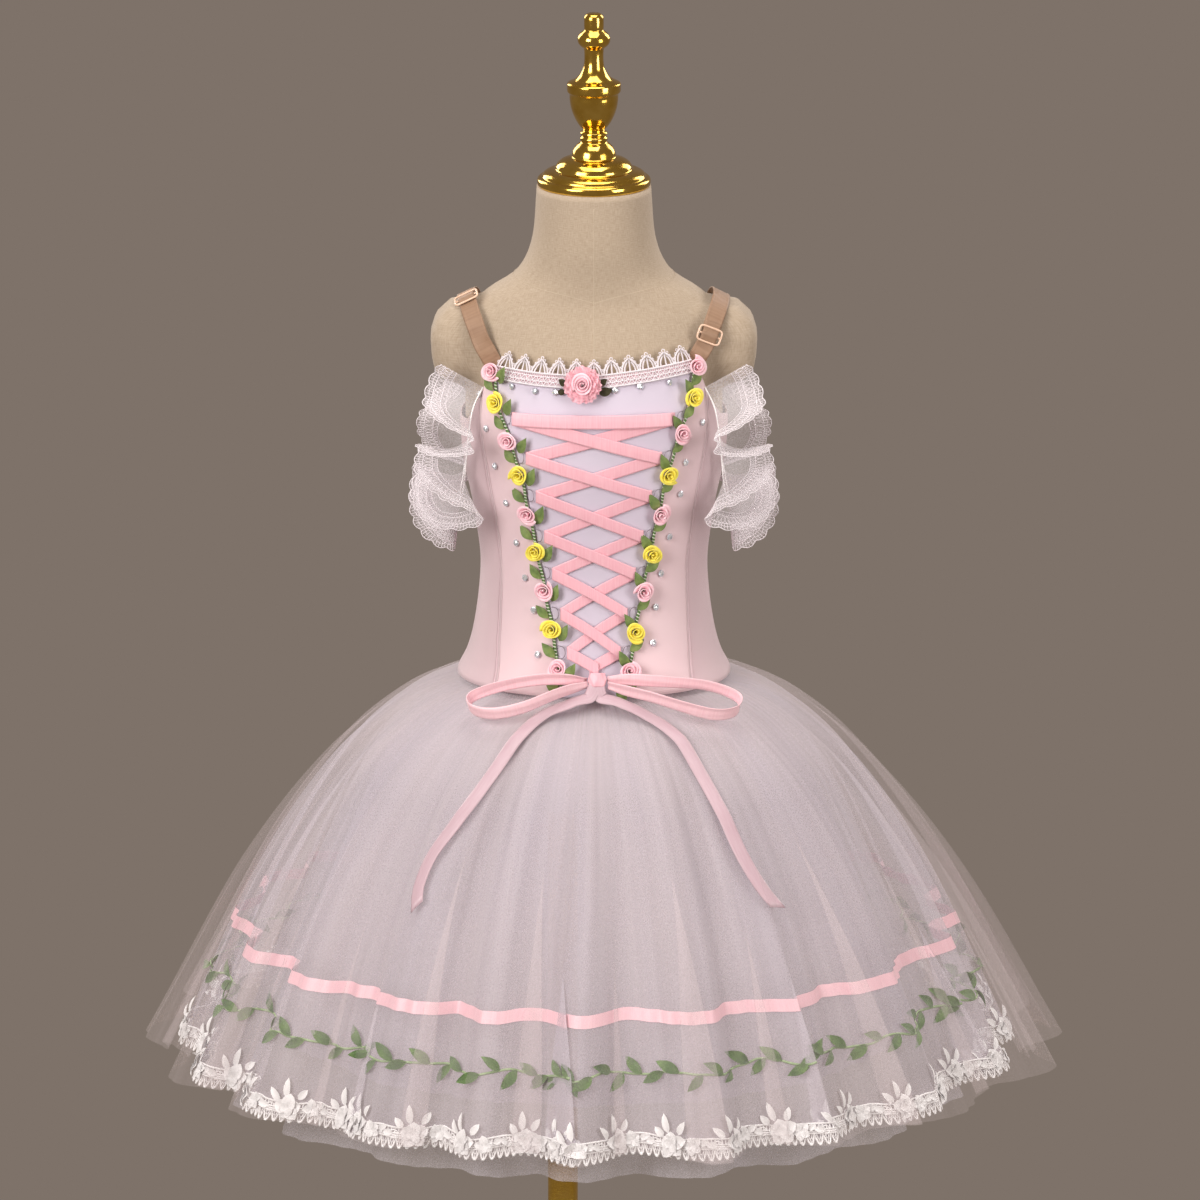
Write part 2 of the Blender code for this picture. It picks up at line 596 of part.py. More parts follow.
def fold_turns(folds, per_fold):
    """Turns of the columns, at even steps of the folds' phase."""
    turns = np.linspace(-np.pi, np.pi, 4001)
    phase = fold_phase(turns, folds)
    wanted = phase[0] + np.arange(folds * per_fold) * 2 * np.pi / per_fold
    return np.interp(wanted, phase, turns)


def layer_grid(rows, turn, folds, folded=1.0):
    """Points of a skirt layer: table rows down, columns round; folded=0 leaves the folds out."""
    half_width, height, ratio, fold, power = (rows[:, k:k + 1] for k in range(5))
    uneven = 1 + FOLD_UNEVEN * np.sin(5 * turn + 1.0)
    ripple = folded * fold * np.cos(fold_phase(turn, folds)) * uneven
    radius = section_radius(turn, half_width, half_width * ratio, power) + ripple
    return around(turn, radius, height + 0 * turn)


def make_layer(name, grid, finish, parent):
    inner = grid - grid_normals(grid, wrap=True) * TULLE_WALL * outward_sign(grid)
    wall(name, grid, inner, finish, parent, wrap=True)


def outward_sign(grid):
    """1 where grid_normals points away from the axis, -1 where it points in."""
    last = grid_normals(grid, wrap=True)[-1]
    return np.sign((last[:, :2] * grid[-1, :, :2]).sum())


def trimmed_grid():
    turn = fold_turns(FOLDS, COLUMNS_PER_FOLD)
    return turn, layer_grid(SKIRT_ROWS, turn, FOLDS)


def overlay_grid():
    """The overlay follows the trimmed tulle, moved out, and stands prouder at the sides."""
    turn, grid = trimmed_grid()
    plain = layer_grid(SKIRT_ROWS, turn, FOLDS, folded=0.0)
    away = grid_normals(plain, wrap=True) * outward_sign(plain)
    normals = grid_normals(grid, wrap=True) * outward_sign(grid)
    way = np.linspace(0, 1, len(SKIRT_ROWS))[:, None]
    swell = np.where(turn < 0, OVERLAY_ROWS[:, 1:2], OVERLAY_ROWS[:, 2:3])
    proud = np.clip(np.cos(fold_phase(turn, FOLDS)), 0, 1) * np.clip(np.sin(3 * turn + 1.1), 0, 1)
    stand_off = swell * np.abs(np.sin(turn)) ** 3 + PROUD_FOLD * proud * way**4
    clearance = OVERLAY_ROWS[:, :1] + TULLE_WALL + 0 * turn
    return turn, grid + normals * clearance[..., None] + away * stand_off[..., None], normals


def on_skirt(turn, height, out):
    """A point at a turn and a height on the faceted overlay, moved out, and its normal there."""
    turns, grid, normals = overlay_grid()
    column = np.interp(turn, turns, np.arange(len(turns)))
    left = int(column)
    across = column - left
    line = grid[:, left] * (1 - across) + grid[:, left + 1] * across
    facing = unit(normals[:, left] * (1 - across) + normals[:, left + 1] * across)
    pick = lambda values: np.interp(-height, -line[:, 2], values)
    normal = unit(np.array([pick(facing[:, k]) for k in range(3)]))
    return np.array([pick(line[:, 0]), pick(line[:, 1]), height]) + normal * out, normal


def band(name, grid, normals, low, high, finish, parent):
    """A trim on the folded tulle, between two ways up its lowest row, which may vary."""
    low, high = np.broadcast_to(low, len(grid[0])), np.broadcast_to(high, len(grid[0]))
    above, hem = grid[-2], grid[-1]
    edge = lambda rise: hem + (above - hem) * rise[:, None]
    flat = np.stack([edge(high), edge(low)])
    out = np.stack([normals[-1], normals[-1]])
    wall(name, flat + out * (TRIM_GAP + TRIM_WALL), flat + out * TRIM_GAP, finish, parent, wrap=True)


def make_skirt(finishes, parent):
    """Overlay, trimmed tulle with ribbon, vine and hem lace, net petticoat, inner tulle."""
    turn, grid = trimmed_grid()
    normals = grid_normals(grid, wrap=True) * outward_sign(grid)
    make_layer("skirt_trimmed", grid, finishes["tulle"], parent)
    make_layer("skirt_overlay", overlay_grid()[1], finishes["tulle"], parent)
    net_turn = fold_turns(NET_FOLDS, COLUMNS_PER_UNDER_FOLD)
    net = layer_grid(NET_ROWS, net_turn, NET_FOLDS)
    make_layer("skirt_net", net, finishes["lace"], parent)
    inner_turn = fold_turns(INNER_FOLDS, COLUMNS_PER_UNDER_FOLD)
    inner = layer_grid(INNER_ROWS, inner_turn, INNER_FOLDS)
    make_layer("skirt_inner", inner, finishes["lilac_tulle"], parent)
    even = np.arange(len(turn)) % 2 == 0
    in_turn = lambda pair: np.where(even, pair[0], pair[1]) / FACET_RISE
    band("skirt_ribbon", grid, normals, in_turn(RIBBON_LOW), in_turn(RIBBON_HIGH),
         finishes["satin"], parent)
    band("skirt_vine", grid, normals, in_turn(SKIRT_VINE_LOW), in_turn(SKIRT_VINE_HIGH),
         finishes["leaf"], parent)
    band("skirt_lace", grid, normals, in_turn(HEM_LACE_LOW), in_turn(HEM_LACE_HIGH),
         finishes["lace"], parent)


# ---------------------------------------------------------------- trims on the bodice
def make_vine(name, side, finish, parent):
    """Stem with leaves to either side in turn, along the princess seam."""
    height = np.linspace(VINE_TOP, VINE_BOTTOM, LEAF_STEPS)
    turn = princess_turn(height)
    step = np.arange(LEAF_STEPS) % len(VINE_RISE)
    rise = VINE_RISE[step]
    radius = bodice_radius(turn, height)
    turns = np.stack([turn - VINE_INNER[step] / radius, turn + VINE_OUTER[step] / radius])
    heights = np.stack([height + rise, height - rise])
    outer = bodice_point(turns, heights, VINE_CLEAR + TRIM_WALL)
    inner = bodice_point(turns, heights, VINE_CLEAR)
    flip = mirrored if side < 0 else lambda p: p
    wall(name, flip(outer), flip(inner), finish, parent)


def rose_points(radius, height, petals, columns):
    """Rings of a ribbon rose: flat base, spread petals, tight heart."""
    turn = np.linspace(0, 2 * np.pi, columns, endpoint=False)
    lobes = 1 + ROSE_LOBES * np.cos(petals * turn)
    rings = [np.stack([radius * wide * lobes * np.cos(turn), radius * wide * lobes * np.sin(turn),
                       np.full(columns, height * rise)], -1) for wide, rise in ROSE_SPREAD]
    return np.array(rings)


def seated(rings, place, normal, turn):
    """Moves points from a flat seat to a place on the bodice."""
    aside = np.array([np.cos(turn), np.sin(turn), 0.0])
    up = np.cross(normal, aside)
    return place + rings[..., :1] * aside + rings[..., 1:2] * up + rings[..., 2:] * normal


def bodice_normal(turn, height):
    turns = turn + np.array([[-0.02, 0.0, 0.02]] * 3)
    heights = height + np.array([[0.002] * 3, [0.0] * 3, [-0.002] * 3])
    normal = grid_normals(bodice_point(turns, heights), wrap=False)[1, 1]
    return normal * np.sign((normal[:2] * bodice_point(turn, height)[:2]).sum())


def make_roses(finishes, parent):
    rings = rose_points(ROSE_RADIUS, ROSE_HEIGHT, 5, 10)
    for column, (side, label) in enumerate(((-1, "left"), (1, "right"))):
        for index, height in enumerate(ROSE_HEIGHTS[:, column]):
            turn = side * float(princess_turn(height)[0])
            normal = bodice_normal(turn, height)
            seat = bodice_point(turn, height, VINE_CLEAR + TRIM_WALL) + normal * ROSE_SEAT
            finish = finishes["yellow_rose" if index % 2 else "pink_rose"]
            loft(f"rose_{label}_{index + 1}", seated(rings, seat, normal, turn), finish, parent)


def make_big_rose(finishes, parent):
    """The large rose at the centre of the neck edge, with a leaf on each side."""
    normal = bodice_normal(BIG_ROSE_TURN, BIG_ROSE_LEVEL)
    seat = bodice_point(BIG_ROSE_TURN, BIG_ROSE_LEVEL, 0.0) + normal * BIG_ROSE_LIFT
    rings = rose_points(BIG_ROSE_RADIUS, BIG_ROSE_HEIGHT, 6, 12)
    rose = seated(rings, seat, normal, BIG_ROSE_TURN)
    loft("big_rose", rose, finishes["pink_rose"], parent)
    for label, aside in (("left", -1), ("right", 1)):
        turns = BIG_ROSE_TURN + aside * np.stack([BIG_LEAF_TURNS, BIG_LEAF_TURNS])
        heights = BIG_ROSE_LEVEL - BIG_LEAF_DROP + np.stack([BIG_LEAF_HALF, -BIG_LEAF_HALF])
        outer = bodice_point(turns, heights, BIG_LEAF_LIFT + TRIM_WALL)
        inner = bodice_point(turns, heights, BIG_LEAF_LIFT)
        wall(f"big_rose_leaf_{label}", outer, inner, finishes["leaf"], parent)


def lacing_run(side, level, height, next_height, end=1.0):
    """One slanting run across the centre front, from a side to the other: x, height, lift."""
    part = np.linspace(0, 1, 8)
    heights = height + (next_height - height) * part
    reach = table_at(PRINCESS_SEAM, heights, 1) - LACING_INSET
    across = side * (1 - (1 + end) * part)
    return np.stack([across * reach, heights, np.full(len(part), level)], -1)


def lacing_strand(name, side, bar, finish, parent):
    """One strand: runs from the left lie over runs from the right, and it folds back at each turn."""
    under, over, bar_lift = LACING_LIFTS
    runs = [lacing_run(-side, bar_lift, LACING_HEIGHTS[0], LACING_HEIGHTS[0])] if bar else []
    for height, next_height in zip(LACING_HEIGHTS[:-1], LACING_HEIGHTS[1:]):
        runs.append(lacing_run(side, over if side < 0 else under, height, next_height))
        side = -side
    last = lacing_run(side, over if side < 0 else under, LACING_HEIGHTS[-1], LACING_END, LACING_REACH)
    runs.append(last)
    path = [runs[0]]
    for before, after in zip(runs[:-1], runs[1:]):
        fold = (before[-1] + after[0]) / 2
        fold[0] += np.sign(fold[0]) * abs(before[-1, 2] - after[0, 2]) / 2
        path += [fold[None], after]
    path = np.concatenate(path)
    lace_to(name, path, finish, parent)


def lace_to(name, path, finish, parent):
    """Ribbon whose two edges follow the bodice: path rows are x, height, lift."""
    along = unit(np.gradient(path[:, [0, 2]], axis=0)) * TRIM_WALL / 2
    faces = []
    for turned_out in (1, -1):
        x = path[:, 0] - turned_out * along[:, 1]
        lift = path[:, 2] + turned_out * along[:, 0]
        edges = []
        for edge in (-0.5, 0.5):
            height = path[:, 1] + edge * LACING_WIDTH
            turn = np.array([bodice_turn(*place) for place in zip(x, height)])
            edges.append(bodice_point(turn, height, lift))
        faces.append(np.stack(edges))
    wall(name, faces[0], faces[1], finish, parent)


# ---------------------------------------------------------------- bow
def tail_route(column, side):
    """Points and normals of a bow tail, from the table's turn column for that side."""
    route = smooth_route(TAIL_ROUTE[:, [column, 2, 3]] * np.array([0.01, 1, 1]), 24)
    places = [on_skirt(side * np.radians(100 * turn), height, lift) for turn, height, lift in route]
    return np.array([p for p, _ in places]), np.array([n for _, n in places])


def make_bow(finishes, parent):
    """Two standing loops, two tails that lie on the skirt, and the knot between them."""
    for column, (side, label) in enumerate(((-1, "left"), (1, "right"))):
        centre = smooth_route(LOOP_ROUTE, 16)
        stretch = RIGHT_LOOP_STRETCH if side > 0 else 1.0
        centre[:, 0] = BOW_X + side * (centre[0, 0] + (centre[:, 0] - centre[0, 0]) * stretch)
        upright = np.tile(unit(LOOP_UPRIGHT), (len(centre), 1))
        ahead = unit(np.gradient(centre, axis=0))
        strip(f"bow_loop_{label}", centre, upright, unit(np.cross(ahead, upright)), SATIN_WIDTH,
              finishes["satin"], parent)
        centre, normal = tail_route(column, side)
        ahead = unit(np.gradient(centre, axis=0))
        strip(f"bow_tail_{label}", centre, unit(np.cross(ahead, normal)), normal, SATIN_WIDTH,
              finishes["satin"], parent)
    knot = rose_points(KNOT_RADIUS, KNOT_HEIGHT, 4, 10)
    seat = bodice_point(KNOT_TURN, LOOP_ROUTE[-1, 2], KNOT_LIFT)
    facing = bodice_normal(KNOT_TURN, LOOP_ROUTE[-1, 2])
    loft("bow_knot", seated(knot, seat, facing, KNOT_TURN), finishes["satin"], parent)


# ---------------------------------------------------------------- whole part
def clear_scene():
    for old in list(bpy.data.objects):
        bpy.data.objects.remove(old, do_unlink=True)


def main():
    clear_scene()
    finishes = make_materials()
    form_axis = bpy.data.objects.new("form_axis", None)
    form_axis.location = (FORM_X, 0, 0)
    bpy.context.collection.objects.link(form_axis)
    make_form(finishes, form_axis)
    make_stand(finishes, form_axis)
    make_bodice(finishes, form_axis)
    make_neck_lace(finishes, form_axis)
    make_straps(finishes, form_axis)
    make_sliders(finishes, form_axis)
    make_sleeves(finishes, form_axis)
    make_skirt(finishes, form_axis)
    make_vine("vine_left", -1, finishes["leaf"], form_axis)
    make_vine("vine_right", 1, finishes["leaf"], form_axis)
    make_roses(finishes, form_axis)
    make_big_rose(finishes, form_axis)
    lacing_strand("lacing_a", -1, True, finishes["satin"], form_axis)
    lacing_strand("lacing_b", 1, False, finishes["satin"], form_axis)
    make_bow(finishes, form_axis)
    bpy.context.view_layer.update()


main()
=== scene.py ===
# %% [markdown]
# # A child's romantic ballet tutu on a dress form
# The garment is a laced basque bodice with a long gathered tulle skirt. It stands on a
# limbless linen form with a brass stand. The frame holds the solids; this file dresses them.
# Lengths are metres, +Z is up and the front faces -Y.

import bmesh
import bpy
import numpy as np
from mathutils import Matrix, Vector


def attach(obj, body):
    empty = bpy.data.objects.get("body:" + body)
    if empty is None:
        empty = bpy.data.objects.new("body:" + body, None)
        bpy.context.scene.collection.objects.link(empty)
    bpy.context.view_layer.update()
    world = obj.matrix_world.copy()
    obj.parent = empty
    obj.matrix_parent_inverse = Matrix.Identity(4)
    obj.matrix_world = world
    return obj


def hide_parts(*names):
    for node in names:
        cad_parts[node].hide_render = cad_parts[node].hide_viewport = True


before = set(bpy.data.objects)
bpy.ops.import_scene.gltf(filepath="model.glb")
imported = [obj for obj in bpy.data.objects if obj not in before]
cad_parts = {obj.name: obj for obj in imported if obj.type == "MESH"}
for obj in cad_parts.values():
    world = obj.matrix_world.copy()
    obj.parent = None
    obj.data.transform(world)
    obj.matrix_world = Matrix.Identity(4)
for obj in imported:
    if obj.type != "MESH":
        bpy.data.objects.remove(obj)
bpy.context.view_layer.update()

HANDS = ((-1, "left"), (1, "right"))
FORM_X = 0.026  # the form's axis stands this far right of the pole's
print("nodes in the frame:", len(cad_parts))

# %% [markdown]
# ## Camera
# A long lens from eight metres keeps the upright lines nearly parallel. It looks down a
# little, so that the hem shows as an ellipse. The camera comes first because everything
# is judged through it.

# %% Camera
PIXEL = 0.00082  # metres across one picture element at the form
PICTURE = 1200  # picture elements across and down
DISTANCE = 8.0
RISE = np.radians(15.2)
SENSOR = 36.0
AIM_X, AIM_HEIGHT = 6 * PIXEL, 0.66  # where the lens points, from the form's axis
target = Vector((FORM_X + AIM_X, 0.0, AIM_HEIGHT))
lens_data = bpy.data.cameras.new("camera")
lens_data.sensor_width = SENSOR
lens_data.lens = SENSOR * DISTANCE / (PICTURE * PIXEL)
lens_data.clip_end = 60.0
camera = bpy.data.objects.new("camera", lens_data)
camera.location = target + DISTANCE * Vector((0.0, -np.cos(RISE), np.sin(RISE)))
camera.rotation_euler = (target - camera.location).to_track_quat("-Z", "Y").to_euler()
bpy.context.scene.collection.objects.link(camera)
bpy.context.scene.camera = camera
print("lens", round(lens_data.lens, 1), "mm")

# %% [markdown]
# ## Meshes from grids of points
# Nearly every piece here is a surface over two parameters. A grid of points holds rows that
# run down and columns that run round to the right, so that its faces point outwards. The
# piece's own UV map is in metres of cloth, which keeps a weave at its true size.

# %% Mesh helpers
SAME_PLACE = 1e-6  # points closer than this are one point


def add_up(steps):
    """Running total of the steps, from nought."""
    return np.concatenate([[0], np.cumsum(steps)])


def way_along(line):
    """Distance along a line to each of its points."""
    return add_up(np.linalg.norm(np.diff(line, axis=0), axis=1))


def wrapped(grid):
    """A grid with its first column repeated after its last."""
    return np.concatenate([grid, grid[:, :1]], 1)


def spread_uv(u, v):
    """A UV place for each corner of a grid from its columns' u and its rows' v."""
    return np.stack(np.broadcast_arrays(u[None, :], v[:, None]), -1)


def quads(rows, columns, around=False):
    """Corner numbers of a grid's faces, and of the same grid with its first column repeated."""
    row, column = np.mgrid[:rows - 1, :columns if around else columns - 1]
    row, column = row.ravel(), column.ravel()
    right = (column + 1) % columns
    wide = columns + 1 if around else columns
    faces = np.stack([row * columns + column, (row + 1) * columns + column,
                      (row + 1) * columns + right, row * columns + right], -1)
    corners = np.stack([row * wide + column, (row + 1) * wide + column,
                        (row + 1) * wide + column + 1, row * wide + column + 1], -1)
    return faces, corners


def piece(name, points, faces, finish, uv=None, corners=None, smooth=True):
    """A mesh object at the origin from points and faces, riding on the part."""
    mesh = bpy.data.meshes.new(name)
    flat = np.asarray(points, float).reshape(-1, 3) + (FORM_X, 0.0, 0.0)
    mesh.from_pydata(flat.tolist(), [], np.asarray(faces).tolist())
    if uv is not None:
        places = np.asarray(uv, float).reshape(-1, 2)
        layer = mesh.uv_layers.new(name="cloth")
        layer.data.foreach_set("uv", places[np.asarray(corners).ravel()].ravel())
    mesh.materials.append(finish)
    if smooth:
        mesh.shade_smooth()
    made = bpy.data.objects.new(name, mesh)
    bpy.context.scene.collection.objects.link(made)
    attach(made, "root")
    return made


def grid_piece(name, grid, finish, around=False, uv=None):
    """A sheet from one grid; its UV map is the distance along the rows and the columns."""
    rows, columns = grid.shape[:2]
    faces, corners = quads(rows, columns, around)
    if uv is None:
        wide = wrapped(grid) if around else grid
        across = np.linalg.norm(np.diff(wide, axis=1), axis=-1).mean(0)
        down = np.linalg.norm(np.diff(wide, axis=0), axis=-1).mean(1)
        uv = spread_uv(add_up(across), add_up(down))
    return piece(name, grid, faces, finish, uv, corners)


def many(name, grids, finish, around=False):
    """One mesh from many equal grids, stacked in one array: piece, row, column, axis."""
    count, rows, columns = grids.shape[:3]
    faces, corners = quads(rows, columns, around)
    wide = columns + 1 if around else columns
    step = np.arange(count)[:, None, None]
    faces = (faces + step * rows * columns).reshape(-1, 4)
    corners = (corners + step * rows * wide).reshape(-1, 4)
    one = spread_uv(np.linspace(0, 1, wide), np.linspace(0, 1, rows))
    uvs = np.broadcast_to(one, (count, rows, wide, 2))
    return piece(name, grids, faces, finish, uvs, corners)


def unit(vectors):
    """Vectors brought to a length of one."""
    return vectors / np.maximum(np.linalg.norm(vectors, axis=-1, keepdims=True), 1e-12)


def outward(points):
    """Level directions from the form's axis to the points."""
    return unit(points * (1, 1, 0))


def placed(seat, axes, *sizes):
    """Points from a seat, by their sizes along each of the axes."""
    return seat + sum(size[..., None] * axis for size, axis in zip(sizes, axes))


def normals_of(grid, around=False):
    """Unit normals from the differences to the neighbours: down the rows x along the columns."""
    down = np.gradient(grid, axis=-3)
    if around:
        across = np.roll(grid, -1, axis=-2) - np.roll(grid, 1, axis=-2)
    else:
        across = np.gradient(grid, axis=-2)
    return unit(np.cross(down, across))


def smooth_rows(rows, count, measured=3):
    """A Catmull-Rom curve through a table's rows, at even steps of its first columns' length."""
    padded = np.vstack([2 * rows[0] - rows[1], rows, 2 * rows[-1] - rows[-2]])
    way = np.linspace(0, len(rows) - 1, 60 * len(rows))
    start = np.minimum(way.astype(int), len(rows) - 2)
    part = (way - start)[:, None]
    a, b, c, d = (padded[start + shift] for shift in range(4))
    curve = 0.5 * (2 * b + (c - a) * part + (2 * a - 5 * b + 4 * c - d) * part**2
                   + (3 * b - a - 3 * c + d) * part**3)
    along = way_along(curve[:, :measured])
    even = np.linspace(0, along[-1], count)
    return np.stack([np.interp(even, along, curve[:, k]) for k in range(rows.shape[1])], -1)


def tubes(lines, facing, wide, tall, sides=6):
    """Tubes along many lines: an ellipse, wide across and tall along the facing direction."""
    ahead = unit(np.gradient(lines, axis=-2))
    beside = unit(np.cross(ahead, facing))
    out = np.cross(beside, ahead)
    angle = np.linspace(0, 2 * np.pi, sides, endpoint=False)[::-1]
    ring = (beside[..., None, :] * np.cos(angle)[:, None] * np.asarray(wide)[..., None, None] / 2
            + out[..., None, :] * np.sin(angle)[:, None] * np.asarray(tall)[..., None, None] / 2)
    return lines[..., None, :] + ring


def closed_tubes(name, lines, facing, wide, tall, finish, sides=6):
    """Tubes whose two ends are drawn in to a point, as one mesh."""
    rings = tubes(lines, facing, wide, tall, sides)
    tips = np.repeat(lines[..., None, :], sides, axis=-2)
    rings = np.concatenate([tips[:, :1], rings, tips[:, -1:]], axis=1)
    made = many(name, rings, finish, around=True)
    mend(made)
    return made


def mend(made, close=None, **settings):
    """Joins doubled points, or closes the open edges by a move; all faces turn outwards."""
    work = bmesh.new()
    work.from_mesh(made.data)
    if close:
        close(work, edges=[edge for edge in work.edges if edge.is_boundary], **settings)
    else:
        bmesh.ops.remove_doubles(work, verts=work.verts, dist=SAME_PLACE)
    bmesh.ops.recalc_face_normals(work, faces=work.faces)
    work.to_mesh(made.data)
    work.free()


print("helpers ready")

# %% [markdown]
# ## Finishes
# A finish is a Principled shader with nodes for its weave, slub, gathers and wear. Values
# that are the same all over stay on the shader's own sockets. Colours are written as the
# eye reads them, from 0 to 255, and are turned into light values.

# %% Finish helpers
def tint(red, green, blue):
    """Display colour to scene light: the sRGB curve undone."""
    value = np.array([red, green, blue]) / 255
    light = np.where(value <= 0.04045, value / 12.92, ((value + 0.055) / 1.055) ** 2.4)
    return (*light.tolist(), 1.0)


def finish(name, colour, roughness, **sockets):
    """A new finish; further Principled sockets by name, with _ for a space."""
    made = bpy.data.materials.new(name)
    made.use_nodes = True
    shader = made.node_tree.nodes["Principled BSDF"]
    shader.inputs["Base Color"].default_value = tint(*colour)
    shader.inputs["Roughness"].default_value = roughness
    for socket, value in sockets.items():
        shader.inputs[socket.replace("_", " ")].default_value = value
    return made


def node(made, kind, settings=(), **inputs):
    """Adds a node. Inputs are values or other nodes' outputs; a key like i1 means input 1."""
    added = made.node_tree.nodes.new("ShaderNode" + kind)
    for key, value in dict(settings).items():
        setattr(added, key, value)
    for key, value in inputs.items():
        numbered = key[0] == "i" and key[1:].isdigit()
        socket = added.inputs[int(key[1:])] if numbered else added.inputs[key.replace("_", " ")]
        if isinstance(value, bpy.types.NodeSocket):
            made.node_tree.links.new(value, socket)
        else:
            socket.default_value = value
    return added


def place(made, stretch, cloth=True, turn=(0.0, 0.0, 0.0)):
    """The piece's own UV map in metres of cloth, or its Object coordinates, stretched."""
    source = node(made, "TexCoord").outputs["UV" if cloth else "Object"]
    return node(made, "Mapping", Vector=source, Scale=stretch, Rotation=turn).outputs[0]


def noise(made, where, scale=1.0, detail=2.0, roughness=0.5):
    """Soft random patches, from 0 to 1."""
    added = node(made, "TexNoise", Vector=where, Scale=scale, Detail=detail, Roughness=roughness)
    return added.outputs[0]


def waves(made, where, scale, direction="X", distortion=0.0):
    """Even bands, from 0 to 1."""
    added = node(made, "TexWave", {"bands_direction": direction}, Vector=where, Scale=scale,
                 Distortion=distortion)
    return added.outputs["Fac"]


def spread(made, value, low, high, start=0.3, end=0.7):
    """Takes start..end of a value to low..high."""
    added = node(made, "MapRange", Value=value, From_Min=start, From_Max=end, To_Min=low,
                 To_Max=high)
    return added.outputs[0]


def times(made, first, second, operation="MULTIPLY"):
    """Two values multiplied, or joined by another operation."""
    return node(made, "Math", {"operation": operation}, i0=first, i1=second).outputs[0]


def feed(made, value, socket):
    """Joins a node's output to a socket of the shader."""
    made.node_tree.links.new(value, made.node_tree.nodes["Principled BSDF"].inputs[socket])


def blend_colours(made, share, first, second):
    """Paints the base colour: first where share is 0, second where it is 1."""
    mix = node(made, "Mix", {"data_type": "RGBA"}, i0=share, i6=tint(*first), i7=tint(*second))
    feed(made, mix.outputs[2], "Base Color")


def bump(made, height, depth, strength=1.0):
    """Relief of the given depth in metres."""
    added = node(made, "Bump", Height=height, Distance=depth, Strength=strength)
    feed(made, added.outputs[0], "Normal")


def worked(made, pattern, first, second, depth, strength=1.0, start=0.3, end=0.7):
    """One pattern gives both the tones and the relief."""
    blend_colours(made, spread(made, pattern, 0, 1, start, end), first, second)
    bump(made, pattern, depth, strength)


def grain(made, stretch, detail=2.0, cloth=True):
    """Noise drawn out by a stretch."""
    return noise(made, place(made, stretch, cloth), 1.0, detail)


def stripes(made, stretch, direction="X", distortion=0.0, scale=1.0):
    """Waves drawn out by a stretch, in metres of cloth."""
    return waves(made, place(made, stretch), scale, direction, distortion)


print("finish helpers ready")

# %% [markdown]
# ## The shared body shapes
# The form, the bodice and the skirt follow tables of measured sections. A turn is an angle
# from the front towards the right. A section is a rounded oval: the power mean of its half
# width and half depth, where a power of 2 would be a plain ellipse.

# %% Body sections
NECK_TOP = 1.0086
FORM_SECTIONS = np.array([  # height, half width, half depth, arm half width, arm half depth
    (0.5000, 0.0940, 0.0770, 0.0, 0.0), (0.5300, 0.1000, 0.0815, 0.0, 0.0),
    (0.5700, 0.0990, 0.0800, 0.0, 0.0), (0.6020, 0.0960, 0.0760, 0.0, 0.0),
    (0.6400, 0.0910, 0.0715, 0.0, 0.0), (0.6700, 0.0903, 0.0715, 0.0, 0.0),
    (0.7050, 0.0903, 0.0713, 0.0, 0.0), (0.7450, 0.0963, 0.0741, 0.0, 0.0),
    (0.7850, 0.1040, 0.0770, 0.0, 0.0), (0.8260, 0.1048, 0.0735, 0.0, 0.0),
    (0.8380, 0.1045, 0.0708, 0.0, 0.0), (0.8460, 0.1040, 0.0688, 0.1180, 0.0180),
    (0.8560, 0.1033, 0.0665, 0.1290, 0.0290), (0.8700, 0.1022, 0.0630, 0.1318, 0.0330),
    (0.8860, 0.1010, 0.0580, 0.1328, 0.0340), (0.9000, 0.1000, 0.0530, 0.1285, 0.0310),
    (0.9120, 0.0960, 0.0485, 0.1160, 0.0250), (0.9220, 0.0860, 0.0460, 0.0, 0.0),
    (0.9380, 0.0625, 0.0460, 0.0, 0.0), (0.9645, 0.0503, 0.0480, 0.0, 0.0),
    (NECK_TOP, 0.0463, 0.0463, 0.0, 0.0),
])
BODICE_SECTIONS = np.array([  # height, half width, half depth of the outer face
    (0.6020, 0.1130, 0.0905), (0.6175, 0.1050, 0.0840), (0.6400, 0.0988, 0.0790),
    (0.6700, 0.0942, 0.0752), (0.7050, 0.0932, 0.0742), (0.7450, 0.0992, 0.0770),
    (0.7850, 0.1070, 0.0800), (0.8260, 0.1098, 0.0782), (0.8660, 0.1080, 0.0690),
])
NECK_EDGE = np.array([  # turn in degrees, height of the bodice's top edge
    (0, 0.8590), (35, 0.8625), (61, 0.8665), (65, 0.8480), (69, 0.8320), (74, 0.8230),
    (90, 0.8190), (105, 0.8230), (112, 0.8320), (122, 0.8400), (180, 0.8420),
])
NECK_TILT = 0.0030
BODICE_TOP = 0.866  # the sections end here; what stands higher rises straight up
TOP_NORMAL = BODICE_TOP - 0.001  # the highest level whose slope can be measured
ROUGH_RADIUS = 0.09  # turns a width on the bodice into an angle
PRINCESS_SEAM = np.array([  # height, x of the seam under each rose vine
    (0.6020, 0.0255), (0.6205, 0.0278), (0.6540, 0.0328), (0.6870, 0.0390), (0.7190, 0.0455),
    (0.7520, 0.0518), (0.7850, 0.0585), (0.8155, 0.0680), (0.8435, 0.0780), (0.8700, 0.0802),
])
SIDE_FRONT_SEAM = np.array([  # height, turn in degrees
    (0.6020, 51.0), (0.6400, 56.0), (0.6700, 58.0), (0.7450, 58.5), (0.7850, 60.0),
    (0.8200, 63.0), (0.8660, 67.0),
])
SIDE_BACK_TURN = 122.0


def section_radius(turn, half_width, half_depth, power=2.2):
    """Distance from the axis to a rounded oval: the power mean of its two half sizes."""
    return (np.abs(np.sin(turn) / half_width) ** power
            + np.abs(np.cos(turn) / half_depth) ** power) ** (-1 / power)


